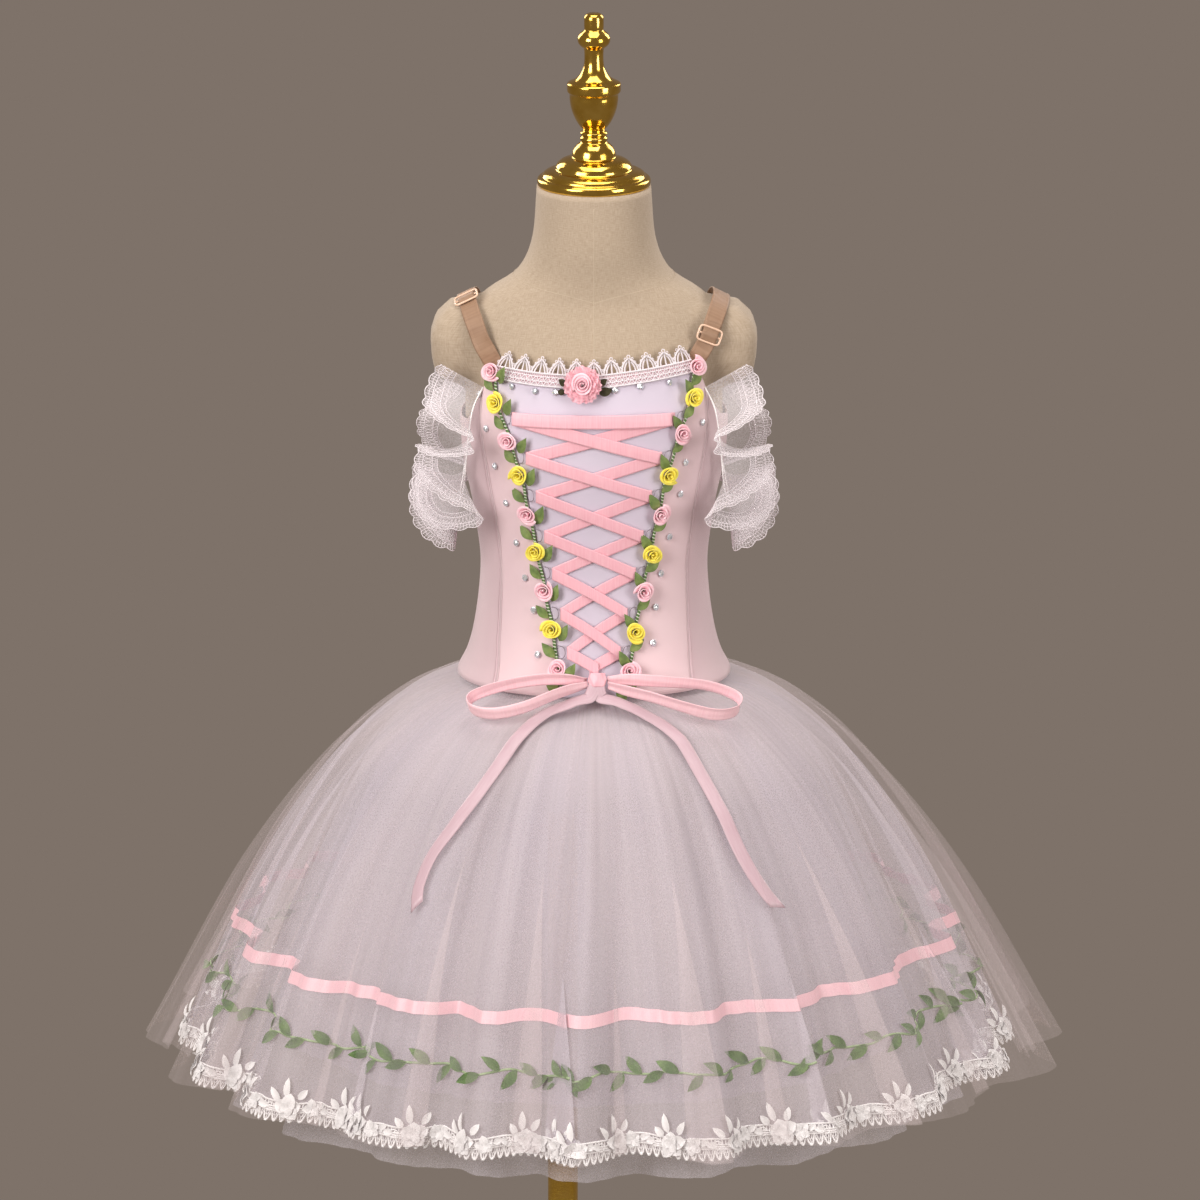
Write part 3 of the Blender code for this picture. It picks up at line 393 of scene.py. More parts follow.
def around(turn, radius, height):
    """Points about the form's axis: x = r sin(turn), y = -r cos(turn)."""
    return np.stack([radius * np.sin(turn), -radius * np.cos(turn), height + 0 * radius], -1)


def at(table, height, column=1):
    """A table's column at a height, on straight lines between its rows."""
    return np.interp(height, table[:, 0], table[:, column])


soft_bodice = smooth_rows(BODICE_SECTIONS, 200, 1)


def bodice_point(turn, height, out=0.0):
    """A point of the bodice's outer face, moved out from the axis."""
    half_width, half_depth = at(soft_bodice, height, 1), at(soft_bodice, height, 2)
    return around(turn, section_radius(turn, half_width, half_depth) + out, height)


def bodice_turn(x, height):
    """The turn at which the bodice's front has this x: a few steps of Newton's rule."""
    turn = np.arcsin(np.clip(np.asarray(x, float) / 0.11, -0.9, 0.9))
    for _ in range(12):
        miss = bodice_point(turn, height)[..., 0] - x
        slope = (bodice_point(turn + 1e-4, height)[..., 0] - x - miss) / 1e-4
        turn = turn - miss / np.maximum(slope, 0.02)
    return turn


def edge_height(turn):
    """Height of the bodice's top edge, which tilts a little in front."""
    level = np.interp(np.degrees(np.abs(turn)), NECK_EDGE[:, 0], NECK_EDGE[:, 1])
    return level + NECK_TILT * np.sin(turn) * np.clip(np.cos(turn) * 3, 0, 1)


def princess_turn(height):
    """Turn of the seam under the right-hand vine."""
    return bodice_turn(at(PRINCESS_SEAM, height), height)


def bodice_normal(turn, height):
    """Outward direction of the bodice from its slopes round and down."""
    across = bodice_point(turn + 0.01, height) - bodice_point(turn - 0.01, height)
    down = bodice_point(turn, height - 0.001) - bodice_point(turn, height + 0.001)
    return unit(np.cross(down, across))


def axes_at(turn, height):
    """Level along the bodice, up along it, and out from it."""
    normal = bodice_normal(turn, height)
    aside = np.stack([np.cos(turn), np.sin(turn), 0 * turn], -1)
    return aside, np.cross(normal, aside), normal


def on_bodice(x, height, lift):
    """A point at an x and a height on the front of the bodice, lifted off it."""
    turn = bodice_turn(x, height)
    return bodice_point(turn, height) + bodice_normal(turn, height) * np.asarray(lift)[..., None]


def seen_on_bodice(pixels):
    """Turns and heights of places on the bodice, from their columns and rows in the view.

    A place is found on the upright plane through the form's axis, and is then carried forward
    along the lens's own direction, as if all its sight lines ran side by side.
    """
    right, up = (pixels.T - PICTURE / 2) * np.array([[PIXEL], [-PIXEL]])
    plane = AIM_HEIGHT + up / (np.cos(RISE) + up * np.sin(RISE) / DISTANCE)
    y = np.full(len(pixels), -ROUGH_RADIUS)
    for _ in range(8):
        height = plane - y * np.tan(RISE)
        level = np.minimum(height, BODICE_TOP)
        turn = bodice_turn((AIM_X + right) * (1 + y / DISTANCE), level)
        y = bodice_point(turn, level)[:, 1]
    return turn, height


print("waist half width", round(float(at(BODICE_SECTIONS, 0.69)), 4))

# %% [markdown]
# ## The skirt's tulle as surfaces
# The real skirt is four gathered layers, one over another: a sheer overlay, a tulle that
# carries the ribbon, vine and lace, a longer net, and a lilac inner tulle. Each is a table of
# rings with folds that deepen towards the hem. Where the cloth folds over itself, the turn
# runs forward, back and forward again, so that three plies lie on each other and look denser.
# Sheer cloth gets its streaks from real plies, as the real one does.

# %% Skirt shapes
SKIRT_ROWS = np.array([  # half width, height, depth over width, fold depth, roundness
    (0.0975, 0.6280, 0.795, 0.0000, 2.2), (0.1070, 0.5985, 0.795, 0.0000, 2.2),
    (0.1235, 0.5930, 0.820, 0.0004, 2.2), (0.1600, 0.5735, 0.870, 0.0018, 2.1),
    (0.2130, 0.5230, 0.915, 0.0048, 2.0), (0.2705, 0.4300, 0.940, 0.0085, 2.0),
    (0.3330, 0.2850, 0.938, 0.0120, 2.0),
])
NET_ROWS = np.array([
    (0.0960, 0.6280, 0.795, 0.0000, 2.2), (0.1045, 0.5970, 0.795, 0.0000, 2.2),
    (0.1205, 0.5890, 0.820, 0.0000, 2.2), (0.1840, 0.5300, 0.890, 0.0020, 2.0),
    (0.3010, 0.2560, 0.950, 0.0080, 2.0),
])
INNER_ROWS = np.array([
    (0.0944, 0.6280, 0.795, 0.0000, 2.2), (0.1015, 0.5950, 0.795, 0.0000, 2.2),
    (0.1170, 0.5850, 0.820, 0.0000, 2.2), (0.1700, 0.5300, 0.880, 0.0010, 2.0),
    (0.2600, 0.3050, 0.950, 0.0030, 2.0),
])
OVERLAY_ROWS = np.array([  # clearance from the trimmed tulle, more at the left, at the right
    (0.0003, 0.000, 0.000), (0.0003, 0.000, 0.000), (0.0008, 0.001, 0.008),
    (0.0018, 0.003, 0.010), (0.0040, 0.003, 0.009), (0.0060, 0.008, 0.018),
    (0.0075, 0.013, 0.032),
])
PROUD_FOLD = 0.012
FOLDS, INNER_FOLDS = 20, 16
TULLE_WALL = 0.0010
# Where a layer folds over itself: centre in degrees, drift towards the hem in degrees,
# width of the fold in degrees, how far apart its plies lie, way down at which it starts
OVERLAY_PLEATS = np.array([
    (-171, 2, 4.2, 0.0020, 0.30), (-149, -2, 5.0, 0.0024, 0.25), (-128, 3, 3.8, 0.0020, 0.40),
    (-103, 2, 4.6, 0.0034, 0.35), (-84, -2, 3.6, 0.0050, 0.30), (-65, -1, 3.4, 0.0024, 0.30),
    (-46, 2, 2.2, 0.0014, 0.45), (-28, 1, 3.4, 0.0022, 0.25), (-11, 1, 4.6, 0.0022, 0.30),
    (3, 1, 2.0, 0.0014, 0.50), (15, 1, 5.6, 0.0022, 0.30), (29, -1, 2.4, 0.0014, 0.45),
    (45, 2, 3.4, 0.0022, 0.25), (63, 2, 3.0, 0.0022, 0.40), (81, 2, 4.2, 0.0060, 0.35),
    (97, -2, 4.0, 0.0040, 0.30), (119, 2, 4.8, 0.0024, 0.35), (141, -2, 3.6, 0.0020, 0.30),
    (160, 2, 4.4, 0.0022, 0.40),
])
TRIMMED_PLEATS = np.array([
    (-158, 2, 4.0, 0.0016, 0.60), (-112, 1, 4.4, 0.0016, 0.62), (-78, 2, 3.2, 0.0014, 0.65),
    (-40, 2, 2.6, 0.0012, 0.66), (-6, 1, 5.0, 0.0016, 0.55), (34, 1, 3.0, 0.0013, 0.62),
    (70, 2, 4.0, 0.0016, 0.60), (104, 2, 4.2, 0.0016, 0.62), (133, 1, 4.2, 0.0016, 0.66),
])


def fold_phase(turn, folds):
    """Uneven spacing of the folds round the skirt."""
    return folds * turn + 0.9 * np.sin(3 * turn + 0.5) + 0.6 * np.sin(7 * turn + 2.0)


def uneven(turn):
    """How deep the folds are at a turn, against the usual."""
    return 1 + 0.30 * np.sin(5 * turn + 1.0)


def proud(turn):
    """The folds of the overlay that stand out furthest, from 0 to 1."""
    return np.clip(np.cos(fold_phase(turn, FOLDS)), 0, 1) * np.clip(np.sin(3 * turn + 1.1), 0, 1)


def gathers(turn, way, seed):
    """Fine gathers: a sum of wandering waves, close at the waist and wider towards the hem."""
    near = np.exp(-way * 5) * np.clip(way * 14, 0, 1)
    middle = np.clip(way * 2.4, 0, 1)
    low = np.clip(way * 1.6 - 0.3, 0, 1)
    wander = 0.8 * np.sin(9 * turn + seed) + 0.5 * np.sin(23 * turn - 2 * seed)
    fine = np.sin(137 * turn + seed + 2 * wander + 1.5 * way)
    broad = np.sin(83 * turn + 3 * seed - 2 * wander - 1.2 * way)
    large = np.sin(47 * turn + 5 * seed + 1.6 * wander + 0.8 * way)
    return 0.0007 * near * fine + 0.0009 * middle * broad + 0.0021 * low * large


def folded_over(turn, way, pleats):
    """Turn and lift where the cloth laps over itself: an odd bump runs the turn back."""
    moved, lift = 0 * turn, 0 * turn
    for centre, drift, width, gap, start in pleats:
        middle = np.radians(centre + drift * way)
        half = np.radians(width) * 0.75
        share = np.clip((way - start) / (1.02 - start), 0, 1)
        share = share * share * (3 - 2 * share)
        off = (turn - middle + np.pi) % (2 * np.pi) - np.pi
        step = off / half
        moved = moved - 3.0 * half * share**0.5 * step * np.exp(-step**2)
        lift = lift - gap * share * 1.65 * step * np.exp(-step**2 / 2)
    return moved, lift


def ring_point(rows, way, turn, folds, ripple, lift):
    """A point of a layer: table rows down, the turn round, then the folds, ripple and lift."""
    soft = smooth_rows(rows, 240, 2)
    even = np.linspace(0, 1, len(soft))
    half_width, height, ratio, fold, power = (np.interp(way, even, soft[:, k]) for k in range(5))
    folds_out = fold * np.cos(fold_phase(turn, folds)) * uneven(turn)
    radius = section_radius(turn, half_width, half_width * ratio, power)
    return around(turn, radius + folds_out + ripple + lift, height)


def trimmed_point(turn, way, plain=False):
    """The tulle that carries the trims."""
    moved, lift = folded_over(turn, way, TRIMMED_PLEATS)
    ripple = 0 * turn if plain else gathers(turn, way, 1.0)
    return ring_point(SKIRT_ROWS, way, turn + moved, FOLDS, ripple, lift)


def overlay_point(turn, way):
    """The sheer overlay: the trimmed tulle's place, moved out, and prouder at the sides."""
    moved, lift = folded_over(turn, way, OVERLAY_PLEATS)
    here = turn + moved
    step = way_of_rows(SKIRT_ROWS)
    clear, left, right = (np.interp(way, step, OVERLAY_ROWS[:, k]) for k in range(3))
    swell = np.where(np.sin(here) < 0, left, right) * np.abs(np.sin(here)) ** 3
    out = clear + TULLE_WALL + swell + PROUD_FOLD * proud(here) * way**4
    ripple = 0.6 * gathers(here, way, 1.0) + 0.7 * np.abs(gathers(here, way, 4.0))
    return ring_point(SKIRT_ROWS, way, here, FOLDS, ripple, lift + out)


def way_of_rows(rows):
    """How far down the layer each table row lies, as a share of its length."""
    down = way_along(rows[:, :2])
    return down / down[-1]


def net_point(turn, way):
    """The net petticoat."""
    return ring_point(NET_ROWS, way, turn, FOLDS, 0.8 * gathers(turn, way, 2.2), 0.0)


def inner_point(turn, way):
    """The lilac inner tulle."""
    ripple = 0.8 * gathers(turn, way, 3.1)
    return ring_point(INNER_ROWS, way, turn, INNER_FOLDS, ripple, 0.0)


SKIRT_LENGTH = float(way_along(SKIRT_ROWS[:, :2])[-1])
print("skirt length from the waist", round(SKIRT_LENGTH, 3))

# %% [markdown]
# ## The bow's two tails, the only free ends
# The bow is tied in the middle of a length of pink satin ribbon, 11 mm wide. Its two tails
# are limp: each drops from the knot over the basque and then lies down the overlay. They
# repeat the route points of their solids.

# %% Satin
def satin(name, colour, deep):
    """Satin: floats that run along the ribbon give it a soft streaked gloss."""
    made = finish(name, colour, 0.36, Sheen_Weight=0.25, Sheen_Roughness=0.4,
                  Specular_IOR_Level=0.55, Anisotropic=0.35)
    where = place(made, (900.0, 60.0, 1.0))
    blend_colours(made, spread(made, noise(made, where, 1.0, 3.0), 0.0, 0.8), colour, deep)
    feed(made, spread(made, noise(made, where, 0.4), 0.28, 0.46), "Roughness")
    bump(made, stripes(made, (2600.0, 2600.0, 1.0), "Y"), 0.00002, 0.5)
    return made


SATIN_PINK = satin("satin pink", (243, 190, 200), (236, 172, 185))
# Painted shade: the tails are the same pink satin, given a darker, greyer copy for the shade they
# lie in.
SHADED_TAIL_SATIN = satin("shaded tail satin", (199, 174, 182), (191, 160, 170))
# Painted light: the loops are the same pink satin, given a lighter copy for the light they catch.
LIT_LOOP_SATIN = satin("lit loop satin", (252, 212, 219), (246, 198, 207))
SATIN_WIDTH, RIBBON_COLUMNS = 0.0110, 9
TAIL_ROUTE = np.array([  # turn left, turn right in degrees, height, lift off the overlay
    (3.0, 4.0, 0.5962, 0.0108), (10.0, 12.0, 0.5940, 0.0090), (20.0, 20.5, 0.5900, 0.0046),
    (25.5, 28.0, 0.5790, 0.0024), (28.5, 30.0, 0.5550, 0.0021), (31.5, 31.0, 0.5250, 0.0021),
    (34.5, 32.0, 0.4980, 0.0021), (35.0, 33.5, 0.4750, 0.0021), (34.0, 35.0, 0.4600, 0.0021),
])
TAIL_POINTS = 60
KNOT_TURN = 0.0306
TAIL_TOP, TAIL_TOP_OUT = 0.6130, 0.0085  # where a tail starts, inside the knot
TAIL_WALL, TAIL_ARCH, TAIL_SLANT = 0.0006, 0.0007, 0.0040


def solid_overlay_grid():
    """The overlay as its solid has it: 80 straight-sided columns and seven rows."""
    turns = np.linspace(-np.pi, np.pi, 4001)
    phase = fold_phase(turns, FOLDS)
    turn = np.interp(phase[0] + np.arange(80) * np.pi / 2, phase, turns)
    half, height, ratio, fold, power = (SKIRT_ROWS[:, k:k + 1] for k in range(5))
    folds_out = fold * np.cos(fold_phase(turn, FOLDS)) * uneven(turn)
    base = section_radius(turn, half, half * ratio, power)
    plain = around(turn, base, height + 0 * turn)
    folded = around(turn, base + folds_out, height + 0 * turn)
    side = np.where(turn < 0, OVERLAY_ROWS[:, 1:2], OVERLAY_ROWS[:, 2:3])
    way = np.linspace(0, 1, 7)[:, None]
    off = side * np.abs(np.sin(turn)) ** 3 + PROUD_FOLD * proud(turn) * way**4
    clear = (OVERLAY_ROWS[:, :1] + TULLE_WALL + 0 * turn)[..., None]
    facing = normals_of(folded, around=True)
    return turn, folded + facing * clear + normals_of(plain, True) * off[..., None], facing


def on_skirt(turns, heights, lifts):
    """Points at turns and heights on the straight-sided overlay, lifted off, and normals."""
    steps, grid, facing = solid_overlay_grid()
    both = np.concatenate([grid, facing], -1)
    found = []
    for turn, height in zip(turns, heights):
        column = np.interp(turn, steps, np.arange(len(steps)))
        left, across = int(column), column - int(column)
        line = both[:, left] * (1 - across) + both[:, left + 1] * across
        found.append([np.interp(-height, -line[:, 2], line[:, k]) for k in range(6)])
    points, out = np.split(np.array(found), 2, axis=1)
    return points + unit(out) * lifts[:, None], unit(out)


def tail_line(column, side):
    """A tail's route at even steps; the turns are made small so that height counts most."""
    rows = smooth_rows(TAIL_ROUTE[:, [column, 2, 3]] * np.array([0.01, 1, 1]), TAIL_POINTS)
    return on_skirt(side * np.radians(100 * rows[:, 0]), rows[:, 1], rows[:, 2])


def ribbon_grid(centre, out, width, arch, cut):
    """A ribbon along a line: across it the cloth arches, and its end may be cut on a slant."""
    ahead = unit(np.gradient(centre, axis=0))
    side = unit(np.cross(ahead, out))
    way = np.linspace(-1, 1, RIBBON_COLUMNS)[None, :, None]
    grid = centre[:, None] + side[:, None] * way * width / 2 + out[:, None] * arch * (1 - way**2)
    slant = np.clip(np.linspace(-3, 1, len(centre)), 0, 1)[:, None, None]
    return grid + ahead[:, None] * way * cut * slant


def thick_ribbon(name, grid, wall_size, finish_used):
    """A closed thin wall from a ribbon's grid, half its thickness to each side."""
    facing = normals_of(grid) * wall_size / 2
    upper, lower = grid + facing, grid - facing
    ring = np.concatenate([upper, lower[:, ::-1]], axis=1)
    made = grid_piece(name, ring, finish_used, around=True)
    mend(made, bmesh.ops.holes_fill, sides=0)
    return made


def from_knot(line, out):
    """Adds the tail's first bend: a cubic curve from inside the knot to the route's start."""
    part = np.linspace(0, 1, 14, endpoint=False)[:, None]
    facing = bodice_normal(KNOT_TURN, TAIL_TOP)
    start = bodice_point(KNOT_TURN, TAIL_TOP) + facing * TAIL_TOP_OUT
    leave, arrive = line[0] - start + (0, -0.006, 0.004), (line[3] - line[0]) * 3
    curve = ((2 * part**3 - 3 * part**2 + 1) * start + (part**3 - 2 * part**2 + part) * leave
             + (3 * part**2 - 2 * part**3) * line[0] + (part**3 - part**2) * arrive)
    turned = unit(facing * (1 - part) + out[0] * part)
    return np.concatenate([curve, line]), np.concatenate([turned, out])


# %% Bow tails
def bow_tail(column, side, hand):
    """One tail, from inside the knot to its slanted end."""
    line, out = from_knot(*tail_line(column, side))
    grid = ribbon_grid(line, out, SATIN_WIDTH, TAIL_ARCH, -side * TAIL_SLANT)
    # Painted shade: the tail takes the darker copy of the pink satin.
    tail = thick_ribbon(f"bow_ribbon_tail_{hand}", grid[::-1], TAIL_WALL, SHADED_TAIL_SATIN)
    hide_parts(f"bow_tail_{hand}")


for column, (side, hand) in enumerate(HANDS):
    bow_tail(column, side, hand)

# %% [markdown]
# ## The stand
# A child's form like this turns on a gilt metal pole. Its neck cap is a stack of turned
# mouldings under an urn and a ball finial. Each is a profile carried round an axis. A lathe
# leaves fine rings, which the finish holds as relief.

# %% Brass
BRASS = finish("polished brass", (226, 184, 84), 0.10, Metallic=1.0)
blotch = grain(BRASS, (90.0,) * 3, 4.0, cloth=False)
blend_colours(BRASS, spread(BRASS, blotch, 0.0, 1.0), (240, 202, 100), (214, 172, 66))
feed(BRASS, spread(BRASS, blotch, 0.08, 0.20), "Roughness")
bump(BRASS, grain(BRASS, (40.0, 40.0, 2400.0), cloth=False), 0.00005, 0.35)

CAP_PROFILE = np.array([  # radius, height, from the knob down to the brim; millimetres
    (4.6, 1150.6), (6.6, 1149.6), (7.8, 1147.8), (8.0, 1145.0), (8.0, 1138.6), (7.5, 1137.2),
    (8.6, 1136.2), (11.2, 1134.3), (13.0, 1131.6), (13.4, 1129.0), (12.8, 1126.2), (10.8, 1123.7),
    (8.6, 1122.3), (7.9, 1120.6), (7.7, 1115.0), (7.9, 1109.6), (8.8, 1105.0), (11.4, 1100.0),
    (15.8, 1096.0), (20.2, 1094.2), (21.7, 1093.2), (21.9, 1092.0), (21.9, 1087.2), (21.5, 1086.0),
    (20.4, 1085.2), (19.7, 1083.6), (19.8, 1080.0), (19.0, 1074.0), (17.2, 1068.0),
    (14.2, 1061.6), (10.8, 1056.8), (8.8, 1055.2), (8.5, 1054.0), (10.4, 1053.4), (11.1, 1052.2),
    (11.1, 1051.2), (9.9, 1050.0), (9.9, 1049.4), (11.2, 1048.4), (11.3, 1046.8), (10.6, 1045.4),
    (10.9, 1044.6), (12.8, 1043.3), (15.6, 1040.4), (17.3, 1037.0), (17.9, 1034.2), (17.9, 1032.8),
    (19.0, 1032.0), (22.0, 1031.4), (26.6, 1029.6), (29.8, 1027.0), (31.1, 1024.4), (31.3, 1022.8),
    (32.6, 1022.0), (35.6, 1021.5), (39.0, 1020.2), (41.0, 1018.8), (41.8, 1017.2), (42.2, 1016.2),
    (44.2, 1015.8), (45.8, 1014.6), (46.2, 1012.8), (46.0, 1010.2), (45.5, 1009.0),
]) / 1000
BASE_PROFILE = np.array([
    (26.0, 20.0), (30.0, 19.9), (33.0, 19.2), (38.0, 18.7), (63.0, 18.0), (100.0, 16.8),
    (126.0, 16.0), (130.0, 15.2), (134.0, 13.0), (138.4, 10.8), (139.8, 9.0), (140.0, 6.0),
    (139.6, 2.2), (137.4, 0.2), (137.0, 0.0),
]) / 1000


def rounded(profile, times_cut=2):
    """Cuts a profile's corners (Chaikin), so that each moulding is softly turned."""
    for _ in range(times_cut):
        first, last = profile[:1], profile[-1:]
        near = 0.75 * profile[:-1] + 0.25 * profile[1:]
        far = 0.25 * profile[:-1] + 0.75 * profile[1:]
        mixed = np.stack([near, far], 1).reshape(-1, 2)
        profile = np.concatenate([first, mixed, last])
    return profile


def lathe(name, profile, finish_used, sides, x=0.0):
    """A profile carried round an upright axis, with both ends drawn to a closed point."""
    ends = np.array([0.0, 1.0])
    profile = np.concatenate([profile[:1] * ends, profile, profile[-1:] * ends])
    turn = np.linspace(0, 2 * np.pi, sides, endpoint=False)
    grid = around(turn, profile[:, :1] + 0 * turn, profile[:, 1:])
    made = grid_piece(name, grid + (x, 0, 0), finish_used, around=True)
    mend(made)
    made.data.set_sharp_from_angle(angle=np.radians(50))
    return made


cap = lathe("turned_neck_cap", rounded(CAP_PROFILE), BRASS, 64)
POLE_RADIUS, POLE_LEVELS = 0.0125, (0.4997, 0.30, 0.10, 0.0203)
pole_profile = np.array([(POLE_RADIUS, height) for height in POLE_LEVELS])
pole = lathe("turned_pole", pole_profile, BRASS, 64, x=-FORM_X)
base = lathe("turned_base", rounded(BASE_PROFILE, 1), BRASS, 128, x=-FORM_X)
for made, covered in ((cap, "neck_cap"), (pole, "pole"), (base, "base")):
    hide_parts(covered)
print("cap rings", len(rounded(CAP_PROFILE)))

# %% [markdown]
# ## The linen form
# The form is padded and covered in oatmeal linen, cut in panels that meet down the centre
# front and back. The cover is worked out from the same sections as its solid, on a fine
# grid. Its slubs are noise drawn out along both threads.

# %% Linen
LINEN = finish("oatmeal linen", (180, 164, 142), 0.92, Sheen_Weight=0.15)
WARP, WEFT = (1900.0, 160.0, 1.0), (160.0, 1900.0, 1.0)
threads = times(LINEN, grain(LINEN, WARP, 3.0), grain(LINEN, WEFT, 3.0), "ADD")
worked(LINEN, threads, (166, 148, 126), (188, 172, 152), 0.0002, 0.5, 0.75, 1.3)


FORM_ROWS, FORM_COLUMNS = 110, 168


def form_grid():
    """Rings of the torso, each joined to its arm stumps by a smooth greater-of-two."""
    soft = smooth_rows(FORM_SECTIONS, FORM_ROWS, 1)
    turn = np.linspace(0, 2 * np.pi, FORM_COLUMNS, endpoint=False)
    height, half, depth = (soft[::-1, k:k + 1] for k in range(3))
    arm, arm_depth = (np.maximum(at(FORM_SECTIONS, height, k), 1e-3) for k in (3, 4))
    body = section_radius(turn, half, depth)
    stump = section_radius(turn, arm, arm_depth, 6.0)
    radius = (body**14 + stump**14) ** (1 / 14)
    return turn, around(turn, radius, height)


FORM_TURN, FORM_GRID = form_grid()
top, foot = (np.repeat(FORM_GRID[end].mean(1, keepdims=True), FORM_GRID.shape[1], 1)
             for end in (slice(0, 1), slice(-1, None)))
linen_form = grid_piece("linen_form", np.concatenate([top, FORM_GRID, foot]), LINEN, around=True)
mend(linen_form)
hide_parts("dress_form")


def form_line(turns, heights):
    """Points on the linen at turns and heights, from the same grid."""
    steps, wide = np.append(FORM_TURN, 2 * np.pi), wrapped(FORM_GRID)
    column = np.interp(np.mod(turns, 2 * np.pi), steps, np.arange(len(steps)))
    row = np.interp(-np.asarray(heights), -wide[:, 0, 2], np.arange(len(wide)))
    c = np.minimum(column.astype(int), len(FORM_TURN) - 1)
    r = np.minimum(row.astype(int), len(wide) - 2)
    fc, fr = (column - c)[:, None], (row - r)[:, None]
    upper, lower = (wide[k, c] * (1 - fc) + wide[k, c + 1] * fc for k in (r, r + 1))
    return upper * (1 - fr) + lower * fr


SEAM_THREAD = finish("seam thread", (182, 166, 144), 0.9)
twist = stripes(SEAM_THREAD, (1.0, 1400.0, 1.0), "DIAGONAL")
worked(SEAM_THREAD, twist, (186, 170, 147), (200, 184, 162), 0.0001, 0.4)
SEAM_TOP, SEAM_FOOT, NECK_SEAM = 0.9990, 0.5050, 0.9230
ring = np.linspace(-np.pi, np.pi, 160)
neck_dip = NECK_SEAM + 0.012 * np.abs(np.sin(ring)) - 0.002 * np.cos(ring)
upright_heights = np.linspace(SEAM_TOP, SEAM_FOOT, 160)
seam_lines = np.stack([
    form_line(0 * upright_heights, upright_heights),
    form_line(0 * upright_heights + np.pi, upright_heights),
    form_line(ring, neck_dip),
])
seams = closed_tubes("form_seams", seam_lines, outward(seam_lines), 0.0008, 0.0002, SEAM_THREAD)
print("form faces", len(linen_form.data.polygons))

# %% [markdown]
# ## The bodice panels
# A basque bodice is cut in seven panels: a lavender front, pink side fronts, sides and backs; the
# sides' pink is painted darker, as shade.
# The stretch knit is pulled smooth over the form, so its only relief is where a seam draws
# the cloth in. Each panel is a grid between two seam lines, from the neck edge to the basque
# edge, and it gets a thin wall.

# %% Stretch knit
def stretch_knit(name, colour, deep):
    """A fine warp knit: tiny ribs, a soft sheen and slow changes of tone."""
    made = finish(name, colour, 0.66, Sheen_Weight=0.35, Sheen_Roughness=0.5)
    slow = grain(made, (14.0, 9.0, 1.0), 3.0)
    blend_colours(made, spread(made, slow, 0.0, 1.0), colour, deep)
    ribs = stripes(made, (1500.0, 1500.0, 1.0), "X", 0.6)
    loops = stripes(made, (1100.0, 1100.0, 1.0), "Y", 0.6)
    bump(made, times(made, ribs, loops, "ADD"), 0.00005, 0.5)
    return made


LAVENDER = stretch_knit("lavender knit", (214, 205, 220), (208, 198, 215))
ROSE_KNIT = stretch_knit("rose knit", (234, 209, 213), (227, 200, 206))
# Painted shade: the side panels take the rose knit's pink, darkened evenly for where they turn away
# from the lamps.
SHADED_ROSE_KNIT = stretch_knit("shaded rose knit", (217, 192, 197), (209, 184, 190))
BASQUE = 0.6020
FIRST_TOP = 0.86  # a panel's top edge is first taken as level, and then follows the neck
PANEL_WALL, RIBBON_WALL, PANEL_ROWS = 0.0009, 0.0005, 66


def add_wall(made, size=RIBBON_WALL, offset=0.0):
    """Gives a sheet its thickness, about its middle or, with an offset of -1, inwards."""
    wall = made.modifiers.new("thickness", "SOLIDIFY")
    wall.thickness, wall.offset = size, offset
    wall.use_rim = True


def panel_grid(from_edge, to_edge, side, columns):
    """Turns and heights between two seams; the heights hang from the neck edge."""
    way, part = np.linspace(0, 1, PANEL_ROWS)[:, None], np.linspace(0, 1, columns)[None]
    if side < 0:
        part = part[:, ::-1]
    height = FIRST_TOP + (BASQUE - FIRST_TOP) * way + 0 * part
    for _ in range(4):
        turn = side * (from_edge(height) * (1 - part) + to_edge(height) * part)
        height = edge_height(turn) * (1 - way) + BASQUE * way
    span = np.abs(to_edge(height) - from_edge(height)) * ROUGH_RADIUS
    return turn, height, np.minimum(part, 1 - part) * span


def bodice_panel(name, from_edge, to_edge, side, columns, finish_used):
    """A panel's skin, drawn in along its seams, and rolled over at its top and lower edges."""
    turn, height, seam = panel_grid(from_edge, to_edge, side, columns)
    pull = -0.0003 * np.exp(-(seam / 0.0016) ** 2)
    pucker = 0.00012 * np.sin(height * 900 + 3 * turn) * np.exp(-(seam / 0.006) ** 2)
    way = np.linspace(0, 1, len(turn))[:, None]
    roll = -0.0010 * (np.exp(-(way / 0.012) ** 2) + np.exp(-((1 - way) / 0.012) ** 2))
    soft = 0.0003 * np.sin(7 * turn + 30 * height) * np.sin(70 * height - 3 * turn)
    grid = bodice_point(turn, height, pull + pucker + roll + soft)
    made = grid_piece("panel_" + name, grid, finish_used)
    add_wall(made, PANEL_WALL, -1.0)
    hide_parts("bodice_" + name)


def left_princess_turn(height):
    return -princess_turn(height)


def side_front_turn(height):
    return np.radians(at(SIDE_FRONT_SEAM, height))


def side_back_turn(height):
    return np.radians(SIDE_BACK_TURN) + 0 * height


def centre_back_turn(height):
    return np.pi + 0 * height


# %% Panels
bodice_panel("centre_front", left_princess_turn, princess_turn, 1, 70, LAVENDER)
for side, hand in HANDS[::-1]:
    for name, from_edge, to_edge, columns, knit in (
            ("side_front", princess_turn, side_front_turn, 26, ROSE_KNIT),
            # painted shade: the sides take the darker copy of the pink knit
            ("side", side_front_turn, side_back_turn, 60, SHADED_ROSE_KNIT),
            ("back", side_back_turn, centre_back_turn, 50, ROSE_KNIT)):
        bodice_panel(f"{name}_{hand}", from_edge, to_edge, side, columns, knit)


